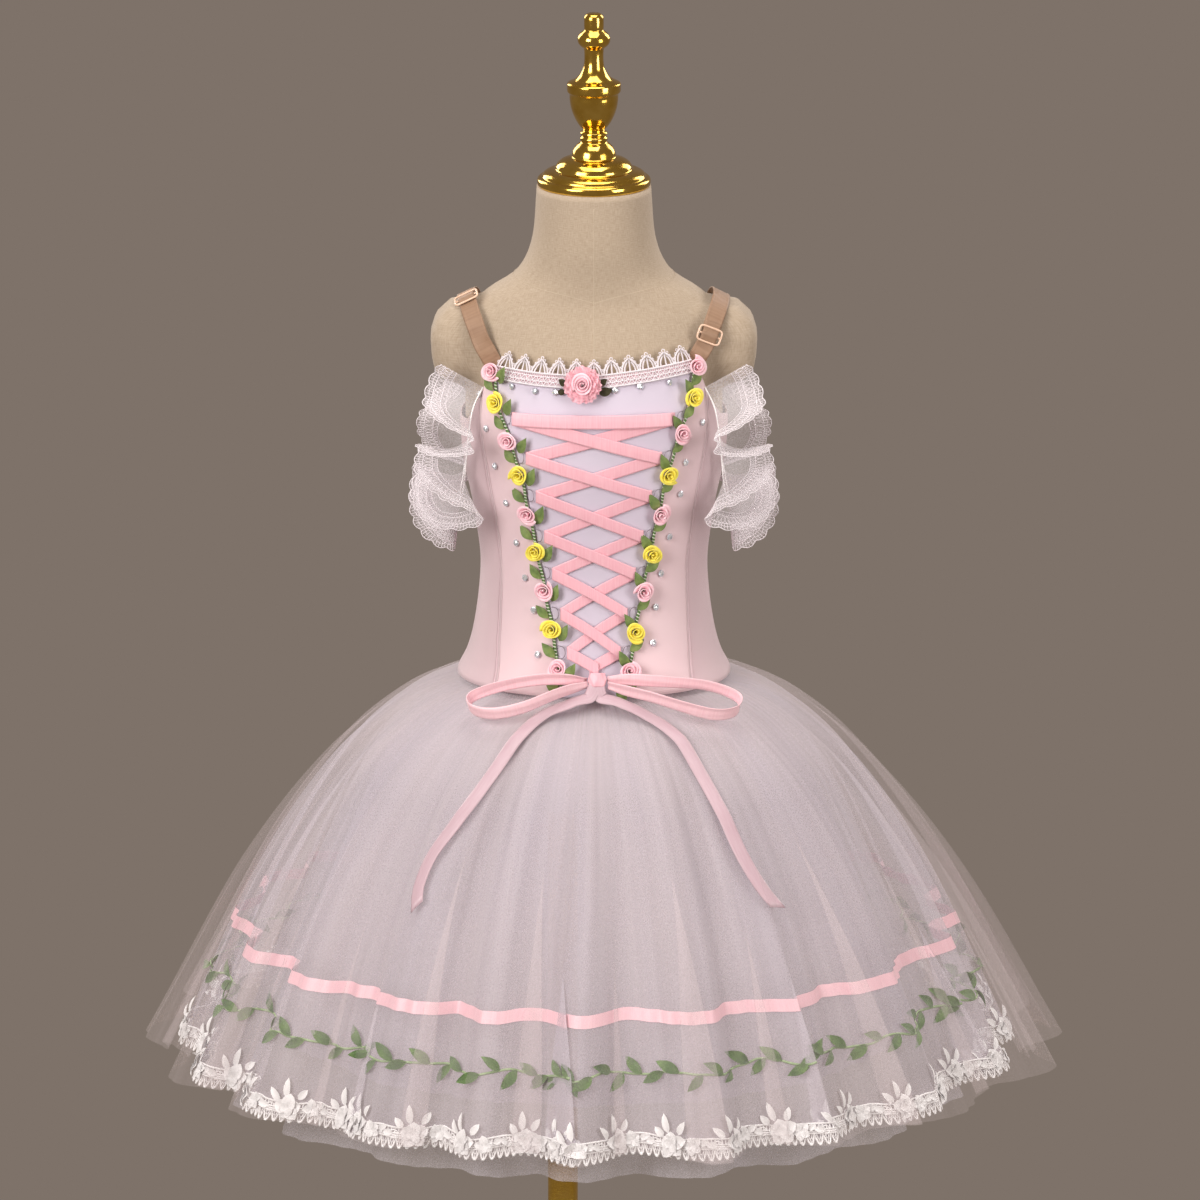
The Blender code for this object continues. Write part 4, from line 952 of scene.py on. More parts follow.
# %% Topstitching
TOPSTITCH = finish("topstitch", (219, 194, 199), 0.7)
dashes = stripes(TOPSTITCH, (1.0, 420.0, 1.0), "Y")
worked(TOPSTITCH, dashes, (208, 182, 187), (220, 195, 200), 0.0001, 0.4)
heights = np.linspace(0.6060, 0.8150, 140)
lines = np.stack([
    bodice_point(side * turns + aside, heights, 0.0002)
    for turns in (side_front_turn(heights), side_back_turn(heights))
    for side in (1, -1) for aside in (-0.022, 0.022)
])
stitches = closed_tubes("seam_topstitching", lines, outward(lines), 0.0004, 0.0002, TOPSTITCH, 4)

# %% [markdown]
# ## The ribbon lacing
# Pink satin ribbon crosses the front seven times. One strand starts with a level bar at the
# top. Runs that come from the left lie over those from the right, and at each turn the
# ribbon folds back through a thread loop at the edge of the rose vine.

# %% Lacing
LACING_HEIGHTS = (0.8300, 0.7990, 0.7675, 0.7335, 0.7020, 0.6685, 0.6370)
LACING_WIDTH = 0.0105
LACING_INSET = 0.0098
LACING_FOOT, LACING_FOOT_SHARE = 0.6235, 0.2  # where the last runs go under the bow
LOW, HIGH, TOP = 0.0015, 0.0034, 0.0053


def lacing_run(side, level, height, next_height, end=1.0):
    """A slanting run from one side to the other: x, height, lift."""
    part = np.linspace(0, 1, 26)
    heights = height + (next_height - height) * part
    across = side * (1 - (1 + end) * part)
    reach = at(PRINCESS_SEAM, heights) - LACING_INSET
    return np.stack([across * reach, heights, level + 0 * part], -1)


def lacing_path(side, bar):
    """One strand: its runs, joined by a half turn at each edge."""
    runs = [lacing_run(-side, TOP, LACING_HEIGHTS[0], LACING_HEIGHTS[0])] if bar else []
    for height, next_height in zip(LACING_HEIGHTS[:-1], LACING_HEIGHTS[1:]):
        runs.append(lacing_run(side, HIGH if side < 0 else LOW, height, next_height))
        side = -side
    level = HIGH if side < 0 else LOW
    runs.append(lacing_run(side, level, LACING_HEIGHTS[-1], LACING_FOOT, LACING_FOOT_SHARE))
    path = [runs[0]]
    for before, after in zip(runs[:-1], runs[1:]):
        start, stop = before[-1], after[0]
        bend = np.linspace(0, np.pi, 7)[1:-1, None]
        fold = (start + stop) / 2 + (start - stop) / 2 * np.cos(bend)
        fold[:, 0] += np.sign(start[0]) * abs(start[2] - stop[2]) / 2 * np.sin(bend[:, 0])
        path += [fold, after]
    return np.concatenate(path)


for name, side, bar in (("a", -1, True), ("b", 1, False)):
    path = lacing_path(side, bar)
    across = np.linspace(1, -1, RIBBON_COLUMNS)[:, None]
    along = way_along(path[:, :2])
    crimp = 0.00012 * np.sin(along * 1900 + 2 * np.sin(along * 90))
    edge = np.abs(across) ** 8 * 0.0002
    lift = path[:, 2] + 0.0003 * (1 - across**2) + crimp * (1 - across**2) + edge
    grid = on_bodice(path[:, 0] + 0 * across, path[:, 1] + across * LACING_WIDTH / 2, lift)
    ribbon = grid_piece(f"lacing_ribbon_{name}", grid, SATIN_PINK)
    add_wall(ribbon)
    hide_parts(f"lacing_{name}")

THREAD = finish("loop thread", (150, 138, 150), 0.7)
bump(THREAD, stripes(THREAD, (1.0, 30.0, 1.0), "Y"), 0.0001)
blend_colours(THREAD, grain(THREAD, (8.0, 30.0, 1.0)), (132, 120, 132), (178, 166, 178))
loops = []
angle = np.linspace(0, np.pi, 15)
for side in (1, -1):
    for height in LACING_HEIGHTS:
        outer = at(PRINCESS_SEAM, height) - 0.0012
        inner = outer - LACING_INSET + 0.0036
        x = side * (outer + (inner - outer) * np.sin(angle) ** 0.6)
        loops.append(on_bodice(x, height + 0.0052 * np.cos(angle), 0.0012 + 0.0022 * np.sin(angle)))
loops = np.stack(loops)
made = closed_tubes("lacing_loops", loops, outward(loops), 0.0007, 0.0006, THREAD, 4)

# %% [markdown]
# ## Leaves, stems and roses
# Bought trims: a green cord with satin leaves, and small roses rolled from ribbon. A leaf is
# a patch that is pointed at both ends, folded along its vein. A rose is one strip wound in a
# spiral, its top edge turned outwards, so that its plies show dark gaps as the real ones do.

# %% Leaf and rose shapes
def leaf_satin(name, colour, first, second, patches):
    """Satin for leaves, in soft patches of two tones."""
    made = finish(name, colour, 0.45, Sheen_Weight=0.25)
    patch = grain(made, (patches,) * 3, 3.0, cloth=False)
    blend_colours(made, spread(made, patch, 0, 1), first, second)
    return made


LEAF_GREEN = leaf_satin("leaf satin", (112, 146, 82), (136, 156, 86), (88, 114, 52), 160.0)
veins = waves(LEAF_GREEN, place(LEAF_GREEN, (1.0, 9.0, 1.0), turn=(0, 0, 0.5)), 3.0, "DIAGONAL")
bump(LEAF_GREEN, veins, 0.0002, 0.5)
STEM_GREEN = finish("stem cord", (88, 120, 62), 0.7)
wrap = stripes(STEM_GREEN, (0.5, 62.0, 1.0), "DIAGONAL", 1.0)
worked(STEM_GREEN, wrap, (84, 118, 60), (222, 228, 210), 0.0003, 0.7, 0.72, 0.86)


def rose_satin(name, colour, deep):
    """Narrow ribbon for the roses: patchy tones and fine ribs across it."""
    made = finish(name, colour, 0.42, Sheen_Weight=0.3, Specular_IOR_Level=0.5)
    share = grain(made, (260.0,) * 3, 3.0, cloth=False)
    blend_colours(made, spread(made, share, 0, 1), colour, deep)
    bump(made, stripes(made, (90.0, 3.0, 1.0), "X", 1.0), 0.0001, 0.5)
    return made


PINK_ROSE = rose_satin("pink rose ribbon", (255, 222, 230), (253, 196, 209))
YELLOW_ROSE = rose_satin("yellow rose ribbon", (255, 246, 110), (250, 230, 70))


def leaf_grids(roots, ahead, facing, long, wide, across=5, along=7, fold=0.22, droop=0.12,
               blunt=0.8):
    """Leaves as patches: half width is a sine to a power along the leaf; folded at the vein."""
    ahead, facing = unit(ahead), unit(facing)
    side = unit(np.cross(ahead, facing))
    t = np.linspace(0, 1, along)[:, None]
    w = np.linspace(1, -1, across)[:, None, None]
    long, wide = (np.asarray(v, float).reshape(-1, 1, 1, 1) for v in (long, wide))
    half = wide / 2 * np.sin(np.pi * t**0.85) ** blunt
    axes = [v[:, None, None, :] for v in (ahead, side, np.cross(side, ahead))]
    rise = np.abs(w) * half * fold - droop * long * t**2 + 0.06 * long * np.sin(np.pi * t)
    return roots[:, None, None, :] + axes[0] * t * long + axes[1] * w * half + axes[2] * rise


def rose_grid(seat, normal, aside, radius, height, winds=2.6, petals=2.3, along=84, tall=7):
    """A strip wound in a spiral, whose top edge rolls out; its petals are waves in the radius."""
    s = np.linspace(0, 1, along)[None, :]
    t = np.linspace(1, 0, tall)[:, None]
    angle = 2 * np.pi * winds * s
    scallop = 1 + 0.09 * np.sin(petals * angle) * t
    out = radius * (0.10 + 0.90 * s**0.85) * scallop
    flare = 0.50 + 0.46 * t + 0.16 * t**6 * s
    r = out * flare
    z = height * (1 - 0.30 * s**1.5) * (t - 0.20 * t**8 * s) * (1 + 0.07 * np.sin(2.6 * angle))
    axes = aside, np.cross(normal, aside), normal
    return placed(seat, axes, r * np.cos(angle), r * np.sin(angle), z)


# %% Rose vines on the bodice
ROSE_HEIGHTS = np.array([  # left, right
    (.8655, .8700), (.8410, .8450), (.8115, .8180), (.7845, .7850), (.7520, .7520),
    (.7205, .7180), (.6875, .6865), (.6555, .6535), (.6240, .6225),
])
ROSE_RADIUS, ROSE_HEIGHT = 0.0083, 0.0070
ROSE_LIFT, ROSE_SEAT = 0.0014, 0.0012  # out from the axis, then out from the bodice
STEM_TOP, STEM_FOOT, STEM_LIFT = 0.8640, 0.6075, 0.0016
STEM_WIDE, STEM_TALL = 0.0030, 0.0020
VINE_FOOT, LOWEST_SEAM = 0.5960, 0.6080  # the last leaf hangs from here; the seam's last level
LEAF_LIFT = 0.0026
VINE_LEAVES = {  # from the rose above, then from the one below: out, up, then way, then length
    "left": ((.0050, -.0090, .42, .91, .0172), (-.0010, .0092, -.73, .68, .0160)),
    "right": ((-.0025, -.0150, .80, .60, .0162), (-.0025, .0030, -.45, .89, .0165)),
}
def vine_stem(side, hand):
    """The green cord along a princess seam, swaying a little."""
    heights = np.linspace(STEM_TOP, STEM_FOOT, 150)
    sway = 0.0006 * np.sin(heights * 160)
    turns = side * (princess_turn(heights) + sway / ROUGH_RADIUS)
    line = bodice_point(turns, heights, STEM_LIFT)
    stem = closed_tubes(f"vine_stem_{hand}", line[None], outward(line)[None], STEM_WIDE, STEM_TALL,
                        STEM_GREEN)


def vine_leaves(column, side, hand):
    """Two leaves between each rose and the next, by the table's offsets and directions."""
    roots, ahead, facing, sizes = [], [], [], []
    levels = np.append(ROSE_HEIGHTS[:, column], VINE_FOOT)
    for index, pair in enumerate(zip(levels[:-1], levels[1:])):
        for (out, up, aside, rise, long), near in zip(VINE_LEAVES[hand], pair):
            root_height = near + up
            turn = side * princess_turn(max(root_height, LOWEST_SEAM)) + out / ROUGH_RADIUS
            flat, _, normal = axes_at(turn, root_height)
            lean = aside + 0.10 * np.sin(4.0 * index + out)
            roots.append(bodice_point(turn, root_height, LEAF_LIFT))
            ahead.append(flat * lean + np.array([0, 0, rise]) + normal * 0.14)
            facing.append(normal)
            sizes.append(long + 0.0010 * np.sin(5 * index + aside))
    grids = leaf_grids(np.array(roots), np.array(ahead), np.array(facing), sizes,
                       np.array(sizes) * 0.50, 7, 11, blunt=1.0)
    leaves = many(f"vine_leaves_{hand}", grids, LEAF_GREEN)
    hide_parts(f"vine_{hand}")


def vine_roses(column, side, hand):
    """The roses, pink and yellow in turn, each spun to another angle."""
    for index, height in enumerate(ROSE_HEIGHTS[:, column]):
        level = min(height, BODICE_TOP)
        turn = side * princess_turn(level)
        aside, up, normal = axes_at(turn, min(height, TOP_NORMAL))
        spin = 1.3 * index + side
        aside = aside * np.cos(spin) + up * np.sin(spin)
        aside = unit(aside - normal * (aside * normal).sum())
        seat = bodice_point(turn, level, ROSE_LIFT) + normal * ROSE_SEAT
        seat[2] += height - level
        grid = rose_grid(seat, normal, aside, ROSE_RADIUS, ROSE_HEIGHT, 3.1 + 0.14 * (index % 3))
        finish_used = YELLOW_ROSE if index % 2 else PINK_ROSE
        rose = grid_piece(f"ribbon_rose_{hand}_{index + 1}", grid, finish_used)
        add_wall(rose)
        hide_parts(f"rose_{hand}_{index + 1}")


for column, (side, hand) in enumerate(HANDS):
    vine_stem(side, hand)
    vine_leaves(column, side, hand)
    vine_roses(column, side, hand)
print("roses and leaves done")

# %% [markdown]
# ## The large rose
# A larger rose covers the middle of the neck edge. Its heart is the same wound ribbon, and
# its outer petals are single rounds of organza, which lets light through.

# %% Large rose
ORGANZA = finish("organza petal", (253, 196, 208), 0.4, Alpha=0.85, Sheen_Weight=0.4)
ribs = grain(ORGANZA, (60.0, 4.0, 1.0), 3.0)
feed(ORGANZA, spread(ORGANZA, ribs, 0.74, 0.95), "Alpha")
worked(ORGANZA, ribs, (254, 208, 217), (246, 172, 188), 0.0003, 0.6)
OLIVE = finish("olive leaf", (82, 78, 48), 0.5)
blend_colours(OLIVE, grain(OLIVE, (260.0,) * 3, cloth=False), (104, 98, 62), (58, 56, 34))
bump(OLIVE, stripes(OLIVE, (1.0, 8.0, 1.0), "DIAGONAL", scale=3.0), 0.0003)
BIG_TURN, BIG_HEIGHT, BIG_LIFT = -0.127, 0.8590, 0.0036
HEART_LIFT, HEART_RADIUS, HEART_HEIGHT = 0.0030, 0.0088, 0.0096
FRILL_COLUMNS, FRILL_ROWS = 220, 9
BIG_AXES = axes_at(BIG_TURN, BIG_HEIGHT)
aside, _, normal = BIG_AXES
BIG_SEAT = bodice_point(BIG_TURN, BIG_HEIGHT) + normal * BIG_LIFT
grid = rose_grid(BIG_SEAT + normal * HEART_LIFT, normal, aside, HEART_RADIUS, HEART_HEIGHT,
                 3.6, 1.9, 150, 8)
heart = grid_piece("big_rose_heart", grid, PINK_ROSE)
add_wall(heart)


def frill_grid(inner, outer, low, high, waves_round, seed):
    """A round petal ring: it opens from its foot, and its free edge waves more than its foot."""
    turn = np.linspace(0, 2 * np.pi, FRILL_COLUMNS, endpoint=False)[None, :]
    t = np.linspace(1, 0, FRILL_ROWS)[:, None]
    lobe = 1 + 0.10 * t * np.abs(np.cos(waves_round * turn / 2 + seed)) ** 0.6
    frill = np.sin(3 * waves_round * turn + 2 * np.sin(2 * turn + seed)) * t**3
    radius = (inner + (outer - inner) * t**0.8) * (lobe + 0.035 * frill)
    level = low + (high - low) * t * (1 - 0.35 * t) + 0.0009 * t**2 * np.sin(
        2 * waves_round * turn + seed * 3)
    return placed(BIG_SEAT, BIG_AXES, radius * np.cos(turn), radius * np.sin(turn), level)


petals = many("big_rose_petals", np.stack([
    frill_grid(0.0030, 0.0142, 0.0000, 0.0052, 7, 0.4),
    frill_grid(0.0028, 0.0122, 0.0014, 0.0080, 6, 1.9),
    frill_grid(0.0024, 0.0098, 0.0026, 0.0108, 5, 3.1),
]), ORGANZA, around=True)
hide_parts("big_rose")
BIG_LEAF_SIZES = {  # lengths, then widths
    "left": ([0.0060, 0.0080], [0.0054, 0.0056]),
    "right": ([0.0110, 0.0092], [0.0076, 0.0058]),
}
for side, hand in HANDS:
    turns = BIG_TURN + side * np.array([0.183, 0.169])
    heights = BIG_HEIGHT + np.array([-0.006, 0.000])
    roots = bodice_point(turns, heights, 0.0030)
    flat = np.stack([np.cos(turns) * side, np.sin(turns) * side, np.array([0.3, 0.75])], -1)
    facing = bodice_normal(turns, heights)
    long, wide = BIG_LEAF_SIZES[hand]
    grids = leaf_grids(roots, flat, facing, long, wide, 7, 10)
    leaf = many(f"big_rose_leaves_{hand}", grids, OLIVE)
    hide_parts(f"big_rose_leaf_{hand}")
END_LEAF_PIXELS = np.array([(557.0, 688.0), (632.0, 688.0)])  # column, row in the view
END_LEAF_HEIGHT = 0.6125  # their roots, out of sight under the bow
turns = seen_on_bodice(END_LEAF_PIXELS)[0]
roots = bodice_point(turns, END_LEAF_HEIGHT + 0 * turns, 0.0020)
grids = leaf_grids(roots, np.array([(0.1, -0.1, -1.0), (-0.1, -0.1, -1.0)]),
                   bodice_normal(turns, 0.61 + 0 * turns), 0.0080, 0.0060 + 0 * turns, 5, 8)
ends = many("vine_end_leaves", grids, OLIVE)
print("large rose done")

# %% [markdown]
# ## Rhinestones
# Silver stones, 6 mm across their seats, lie along the neck and outside each vine. A stone
# is a low faceted dome on a metal seat: four rings of eight points are enough at this size.

# %% Rhinestones
STONE = finish("silver rhinestone", (232, 236, 242), 0.10, Metallic=0.6, Coat_Weight=0.6,
               Coat_Roughness=0.03)
glint = grain(STONE, (700.0,) * 3, 1.0, cloth=False)
worked(STONE, glint, (255, 255, 255), (196, 210, 224), 0.0002, 0.4)
STONE_PIXELS = np.array([  # column, row in the view
    (512.6, 388.0), (535.4, 393.0), (555.6, 394.0), (615.0, 392.0), (640.0, 388.0),
    (669.0, 384.0), (480.6, 395.0), (487.4, 429.5), (495.9, 466.8), (506.9, 503.5),
    (517.0, 543.0), (525.5, 577.7), (534.0, 610.0), (538.0, 654.0), (701.4, 423.3),
    (684.9, 463.3), (679.8, 494.8), (669.0, 537.0), (660.6, 573.5), (655.6, 606.8),
    (653.0, 642.4),
])
turns, heights = seen_on_bodice(STONE_PIXELS)
axes = [axis[:, None] for axis in axes_at(turns, heights)]
seats = bodice_point(turns, heights, 0.0004)[:, None]
angle = np.linspace(0, 2 * np.pi, 8, endpoint=False)
STONE_RINGS = (  # radius, rise, shift round in radians
    (0, 0, 0), (.0030, 0, 0), (.0031, .0008, 0), (.0025, .0018, .39), (.0014, .0026, 0),
    (0, .0028, 0),
)
rings = []
for radius, rise, shift in STONE_RINGS:
    x, y = radius * np.cos(angle + shift), radius * np.sin(angle + shift)
    rings.append(placed(seats, axes, x, y, rise + 0 * x))
stones = many("rhinestones", np.stack(rings, 1), STONE, around=True)
mend(stones)
stones.data.shade_flat()

# %% [markdown]
# ## Lace from cords
# Lace here is drawn as its maker sees it: cords laid along lines in a pattern plane, which a
# surface then carries. The plane's first number runs along the edge and its second across
# it, in metres. Net between the cords is a sheer sheet.

# %% Lace tools
LACE = finish("lace thread", (252, 249, 249), 0.78, Sheen_Weight=0.25)
SOFT_LACE = finish("soft lace thread", (229, 222, 226), 0.85, Sheen_Weight=0.2)
fuzz = grain(LACE, (1500.0,) * 3, cloth=False)
worked(LACE, fuzz, (255, 254, 254), (248, 245, 246), 0.0002, 0.7)


def sheer(name, colour, deep, thin, dense, streaks, waist=0.0):
    """Sheer cloth: its cover wanders between thin and dense in streaks along its fall."""
    made = finish(name, colour, 0.8, Sheen_Weight=0.2, Specular_IOR_Level=0.2, Alpha=dense)
    fall = noise(made, place(made, streaks), 1.0, 3.0, 0.6)
    cover = spread(made, fall, thin, dense, 0.25, 0.75)
    mesh = grain(made, (620.0, 620.0, 1.0), 1.0)
    cover = times(made, cover, spread(made, mesh, 0.80, 1.20))
    if waist:
        down = node(made, "SeparateXYZ", Vector=place(made, (1.0, 1.0, 1.0))).outputs[1]
        cover = times(made, cover, spread(made, down, waist, 0.0, 0.0, 0.16), "ADD")
    feed(made, cover, "Alpha")
    blend_colours(made, spread(made, grain(made, (9.0, 2.5, 1.0)), 0, 1), colour, deep)
    bump(made, grain(made, (1200.0, 1200.0, 1.0), 1.0), 0.0001, 0.3)
    return made


def arc(x0, y0, x1, y1, rise, count=9):
    """A bowed line from one point of the pattern to another: a half sine to one side."""
    part = np.linspace(0, 1, count)
    bow = rise * np.sin(np.pi * part)
    length = np.hypot(x1 - x0, y1 - y0)
    return np.stack([x0 + (x1 - x0) * part - (y1 - y0) / length * bow,
                     y0 + (y1 - y0) * part + (x1 - x0) / length * bow], -1)


def oval(x, y, half_x, half_y, count=9):
    """A closed oval in the pattern plane."""
    angle = np.linspace(0, 2 * np.pi, count)
    return np.stack([x + half_x * np.cos(angle), y + half_y * np.sin(angle)], -1)


def repeated(lines, pitch, count, start=0.0):
    """Pattern lines with their widths, each again and again along the edge."""
    shift = start + pitch * np.arange(count)
    moves = np.stack([shift, 0 * shift], -1)[:, None]
    return [(line[None] + moves, wide) for line, wide in lines]


def lace_cords(name, carried, groups, finish_used):
    """Cords on a surface: each group is its lines, width, height and lift."""
    verts, faces, count = [], [], 0
    for lines, wide, tall, lift in groups:
        points, facing = carried(lines[..., 0], lines[..., 1], lift)
        rings = tubes(points, facing, wide, tall, 4)
        rows, one = rings.shape[1], quads(rings.shape[1], 4, around=True)[0]
        step = (np.arange(len(rings)) * rows * 4)[:, None, None]
        faces.append((one + step + count).reshape(-1, 4))
        verts.append(rings.reshape(-1, 3))
        ends = count + np.arange(len(rings))[:, None] * rows * 4
        faces.append(np.concatenate([ends + [3, 2, 1, 0], ends + (rows - 1) * 4 + [0, 1, 2, 3]]))
        count += rings.size // 3
    made = piece(name, np.concatenate(verts), np.concatenate(faces)[:, ::-1], finish_used)
    print(name, "faces", len(made.data.polygons))
    return made


# %% Neck lace
steps = np.radians(np.linspace(-62, 62, 400))
edge_line = bodice_point(steps, np.minimum(edge_height(steps), BODICE_TOP))
edge_length = way_along(edge_line)
edge_length -= np.interp(0.0, steps, edge_length)


def on_neck(s, t, lift):
    """The neck edge: along it, and across the lace from the top of its band; it leans in."""
    turn = np.interp(s, edge_length, steps)
    above = t + NECK_BAND_TOP
    height = edge_height(turn) + above
    ripple = 0.0006 * np.sin(s * 430) * np.clip(t * 200, 0, 1)
    out = lift + ripple - 0.36 * np.maximum(above, 0)
    point = bodice_point(turn, np.minimum(height, BODICE_TOP), out)
    point[..., 2] = height
    return point, bodice_normal(turn, np.minimum(height, TOP_NORMAL))


NECK_FAN, NECK_ARCH, NECK_BAR = 0.0145, 0.0048, 0.0016  # widths of the pattern's repeats
NECK_BAND_TOP = 0.0066  # above the neck edge
NECK_END = 57.5  # degrees from the front to where the lace ends
NECK_CORD_TALL, NECK_CORD_LIFT = 0.0008, 0.0024
reach = float(np.interp(np.radians(NECK_END), steps, edge_length))
fans = int(round(2 * reach / NECK_FAN))
pitch = 2 * reach / fans
along = np.linspace(-reach, reach, 400)
half = pitch / 2
fan = [
    (arc(0.0006, 0.0, half, 0.0104, 0.0016), 0.0017),
    (arc(pitch - 0.0006, 0.0, half, 0.0104, -0.0016), 0.0017),
    (arc(0.0030, 0.0, half - 0.0013, 0.0078, 0.0007, 6), 0.0014),
    (arc(half, 0.0, half, 0.0092, 0.0, 5), 0.0014),
    (arc(pitch - 0.0030, 0, half + 0.0013, 0.0078, -0.0007, 6), 0.0014),
    (oval(half, 0.0116, 0.0012, 0.0013), 0.0010),
]
for knot in (0.25, 0.55, 0.8):
    for side in (-1, 1):
        x = half + side * (half - 0.0006) * (1 - knot)
        fan.append((oval(x + side * 0.0014, 0.0112 * knot + 0.0010, 0.0009, 0.0010, 7), 0.0007))
fan = repeated(fan, pitch, fans, -reach)
band = [(np.stack([along, along * 0 + level], -1)[None], wide) for level, wide in (
    (0.0, 0.0016), (-0.0024, 0.0009), (-0.0092, 0.0015), (-0.0058, 0.0009))]
arches = []
for level in (-0.0056, -0.0090):
    arches.append((arc(0, level, NECK_ARCH, level, 0.0030, 8), 0.0010))
    arches.append((arc(0.0014, level, NECK_ARCH - 0.0014, level, 0.0014, 5), 0.0007))
band += repeated(arches, NECK_ARCH, int(2 * reach / NECK_ARCH), -reach)
bar = (arc(0, -0.0024, 0, 0, 0.0, 3), 0.0007)
band += repeated([bar], NECK_BAR, int(2 * reach / NECK_BAR), -reach)
groups = [(lines, wide, NECK_CORD_TALL, NECK_CORD_LIFT) for lines, wide in fan + band]
neck_cords = lace_cords("neck_lace_cords", on_neck, groups, SOFT_LACE)
NECK_NET = sheer("neck lace net", (252, 214, 224), (250, 200, 214), 0.72, 0.92, (500, 500, 1))
s, t = np.meshgrid(along, np.linspace(0.0006, -0.0094, 7))
grid = on_neck(s, t, 0.0012)[0]
neck_net = grid_piece("neck_lace_net", grid, NECK_NET)
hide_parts("neck_lace")

# %% [markdown]
# ## Straps and sliders
# The straps are nude satin elastic, 15 mm wide, with a raised rib along each edge. They run
# from inside the front edge over the shoulder to inside the back. Each carries a wire
# slider, a rounded frame with one bar.

# %% Straps
STRAP = finish("nude elastic", (150, 119, 93), 0.5, Sheen_Weight=0.2)
tone = grain(STRAP, (420.0, 20.0, 1.0))
blend_colours(STRAP, spread(STRAP, tone, 0, 1), (158, 126, 100), (144, 112, 86))
bump(STRAP, stripes(STRAP, (1.0, 650.0, 1.0), "Y"), 0.00008, 0.7)
NUDE_WIRE = finish("nude enamel", (236, 202, 176), 0.25, Coat_Weight=0.4)
chip = grain(NUDE_WIRE, (300.0,) * 3, cloth=False)
blend_colours(NUDE_WIRE, chip, (242, 210, 184), (222, 184, 156))
bump(NUDE_WIRE, chip, 0.0001, 0.3)
STRAP_ROUTE = np.array([  # x, y, height on the right side
    (.0813, -.0460, .8590), (.0806, -.0451, .8680), (.0850, -.0446, .8775),
    (.0910, -.0420, .8880), (.0960, -.0375, .9010), (.1005, -.0280, .9120),
    (.1035, -.0100, .9185), (.1030, .0100, .9180), (.1000, .0290, .9110),
    (.0945, .0425, .8940), (.0880, .0485, .8680), (.0828, .0494, .8480), (.0814, .0485, .8340),
])
STRAP_WIDTH, STRAP_WALL = 0.0150, 0.0007
SLIDER_HALF_WIDTH, SLIDER_HALF_LENGTH = 0.0098, 0.0062
SLIDER_WIRE, SLIDER_LIFT, SLIDER_POINTS = 0.0017, 0.0020, 48
FOLD_LENGTH, FOLD_HALF_WIDTH, FOLD_WALL = 0.0105, 0.0070, 0.0006  # the end turned back
MIRROR = np.array([-1.0, 1.0, 1.0])


def strap_frame(count):
    """The strap's middle line, its way ahead and its outward direction."""
    centre = smooth_rows(STRAP_ROUTE, count)
    ahead = unit(np.gradient(centre, axis=0))
    out = unit(centre - np.array([0.045, 0.0, 0.800]))
    out = unit(out - ahead * (out * ahead).sum(-1, keepdims=True))
    return centre, ahead, out


def rounded_ring(half_x, half_y):
    """A rounded rectangle: a circle raised to a low power along each axis."""
    angle = np.linspace(0, 2 * np.pi, SLIDER_POINTS)
    cos, sin = np.cos(angle), np.sin(angle)
    return half_x * np.sign(cos) * np.abs(cos)**0.35, half_y * np.sign(sin) * np.abs(sin)**0.35


def strap_with_slider(hand, place_on, flip):
    """One strap, its slider at a numbered point of it, and the end turned back under that."""
    centre, ahead, out = strap_frame(121)
    side = np.cross(ahead, out)
    way = np.linspace(-1, 1, 13)[:, None, None]
    raised = 0.0005 * np.exp(-((np.abs(way) - 0.88) / 0.09) ** 2) + 0.0002 * (1 - way**2)
    grid = (centre[None] + side[None] * way * STRAP_WIDTH / 2 + out[None] * raised) * flip
    if hand == "right":
        grid = grid[::-1]
    strap = grid_piece(f"elastic_strap_{hand}", grid, STRAP)
    add_wall(strap, STRAP_WALL)
    centre, ahead, out = strap_frame(61)
    middle, along_it, outward = centre[place_on], ahead[place_on], out[place_on]
    sideways = np.cross(along_it, outward)
    seat = middle + outward * SLIDER_LIFT
    x, y = rounded_ring(SLIDER_HALF_WIDTH, SLIDER_HALF_LENGTH)
    frame_line = (seat + x[:, None] * sideways + y[:, None] * along_it) * flip
    part = np.linspace(-1, 1, SLIDER_POINTS)[:, None]
    bar = (seat + sideways * part * (SLIDER_HALF_WIDTH - 0.0002) - outward * 0.0004) * flip
    lines = np.stack([frame_line, bar])
    facing = np.broadcast_to(outward * flip, lines.shape)
    slider = closed_tubes(f"wire_slider_{hand}", lines, facing, SLIDER_WIRE, SLIDER_WIRE,
                          NUDE_WIRE, 8)
    t = np.linspace(-0.5, 1.0, 30)[None, :, None]
    w = np.linspace(-1, 1, 9)[:, None, None]
    loop_lift = 0.0016 + 0.0012 * np.sin(np.pi * np.clip(t + 0.5, 0, 1))
    turned_back = (middle + along_it * t * FOLD_LENGTH + sideways * w * FOLD_HALF_WIDTH
                   + outward * loop_lift) * flip
    fold = grid_piece(f"strap_fold_{hand}", turned_back, STRAP)
    add_wall(fold, FOLD_WALL)
    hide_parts(f"strap_{hand}")
    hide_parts(f"slider_{hand}")


strap_with_slider("right", 11, np.ones(3))
strap_with_slider("left", 22, MIRROR)

# %% [markdown]
# ## The lace sleeves
# Each sleeve is one length of scalloped lace gathered on a hanging loop of elastic. Its free
# edge is far longer than the loop, so it swings out to each side in deep waves, one tier
# over another. The outer two fifths of the lace are worked: scallops, ladders, ovals and
# bold cords. The rest is plain net.

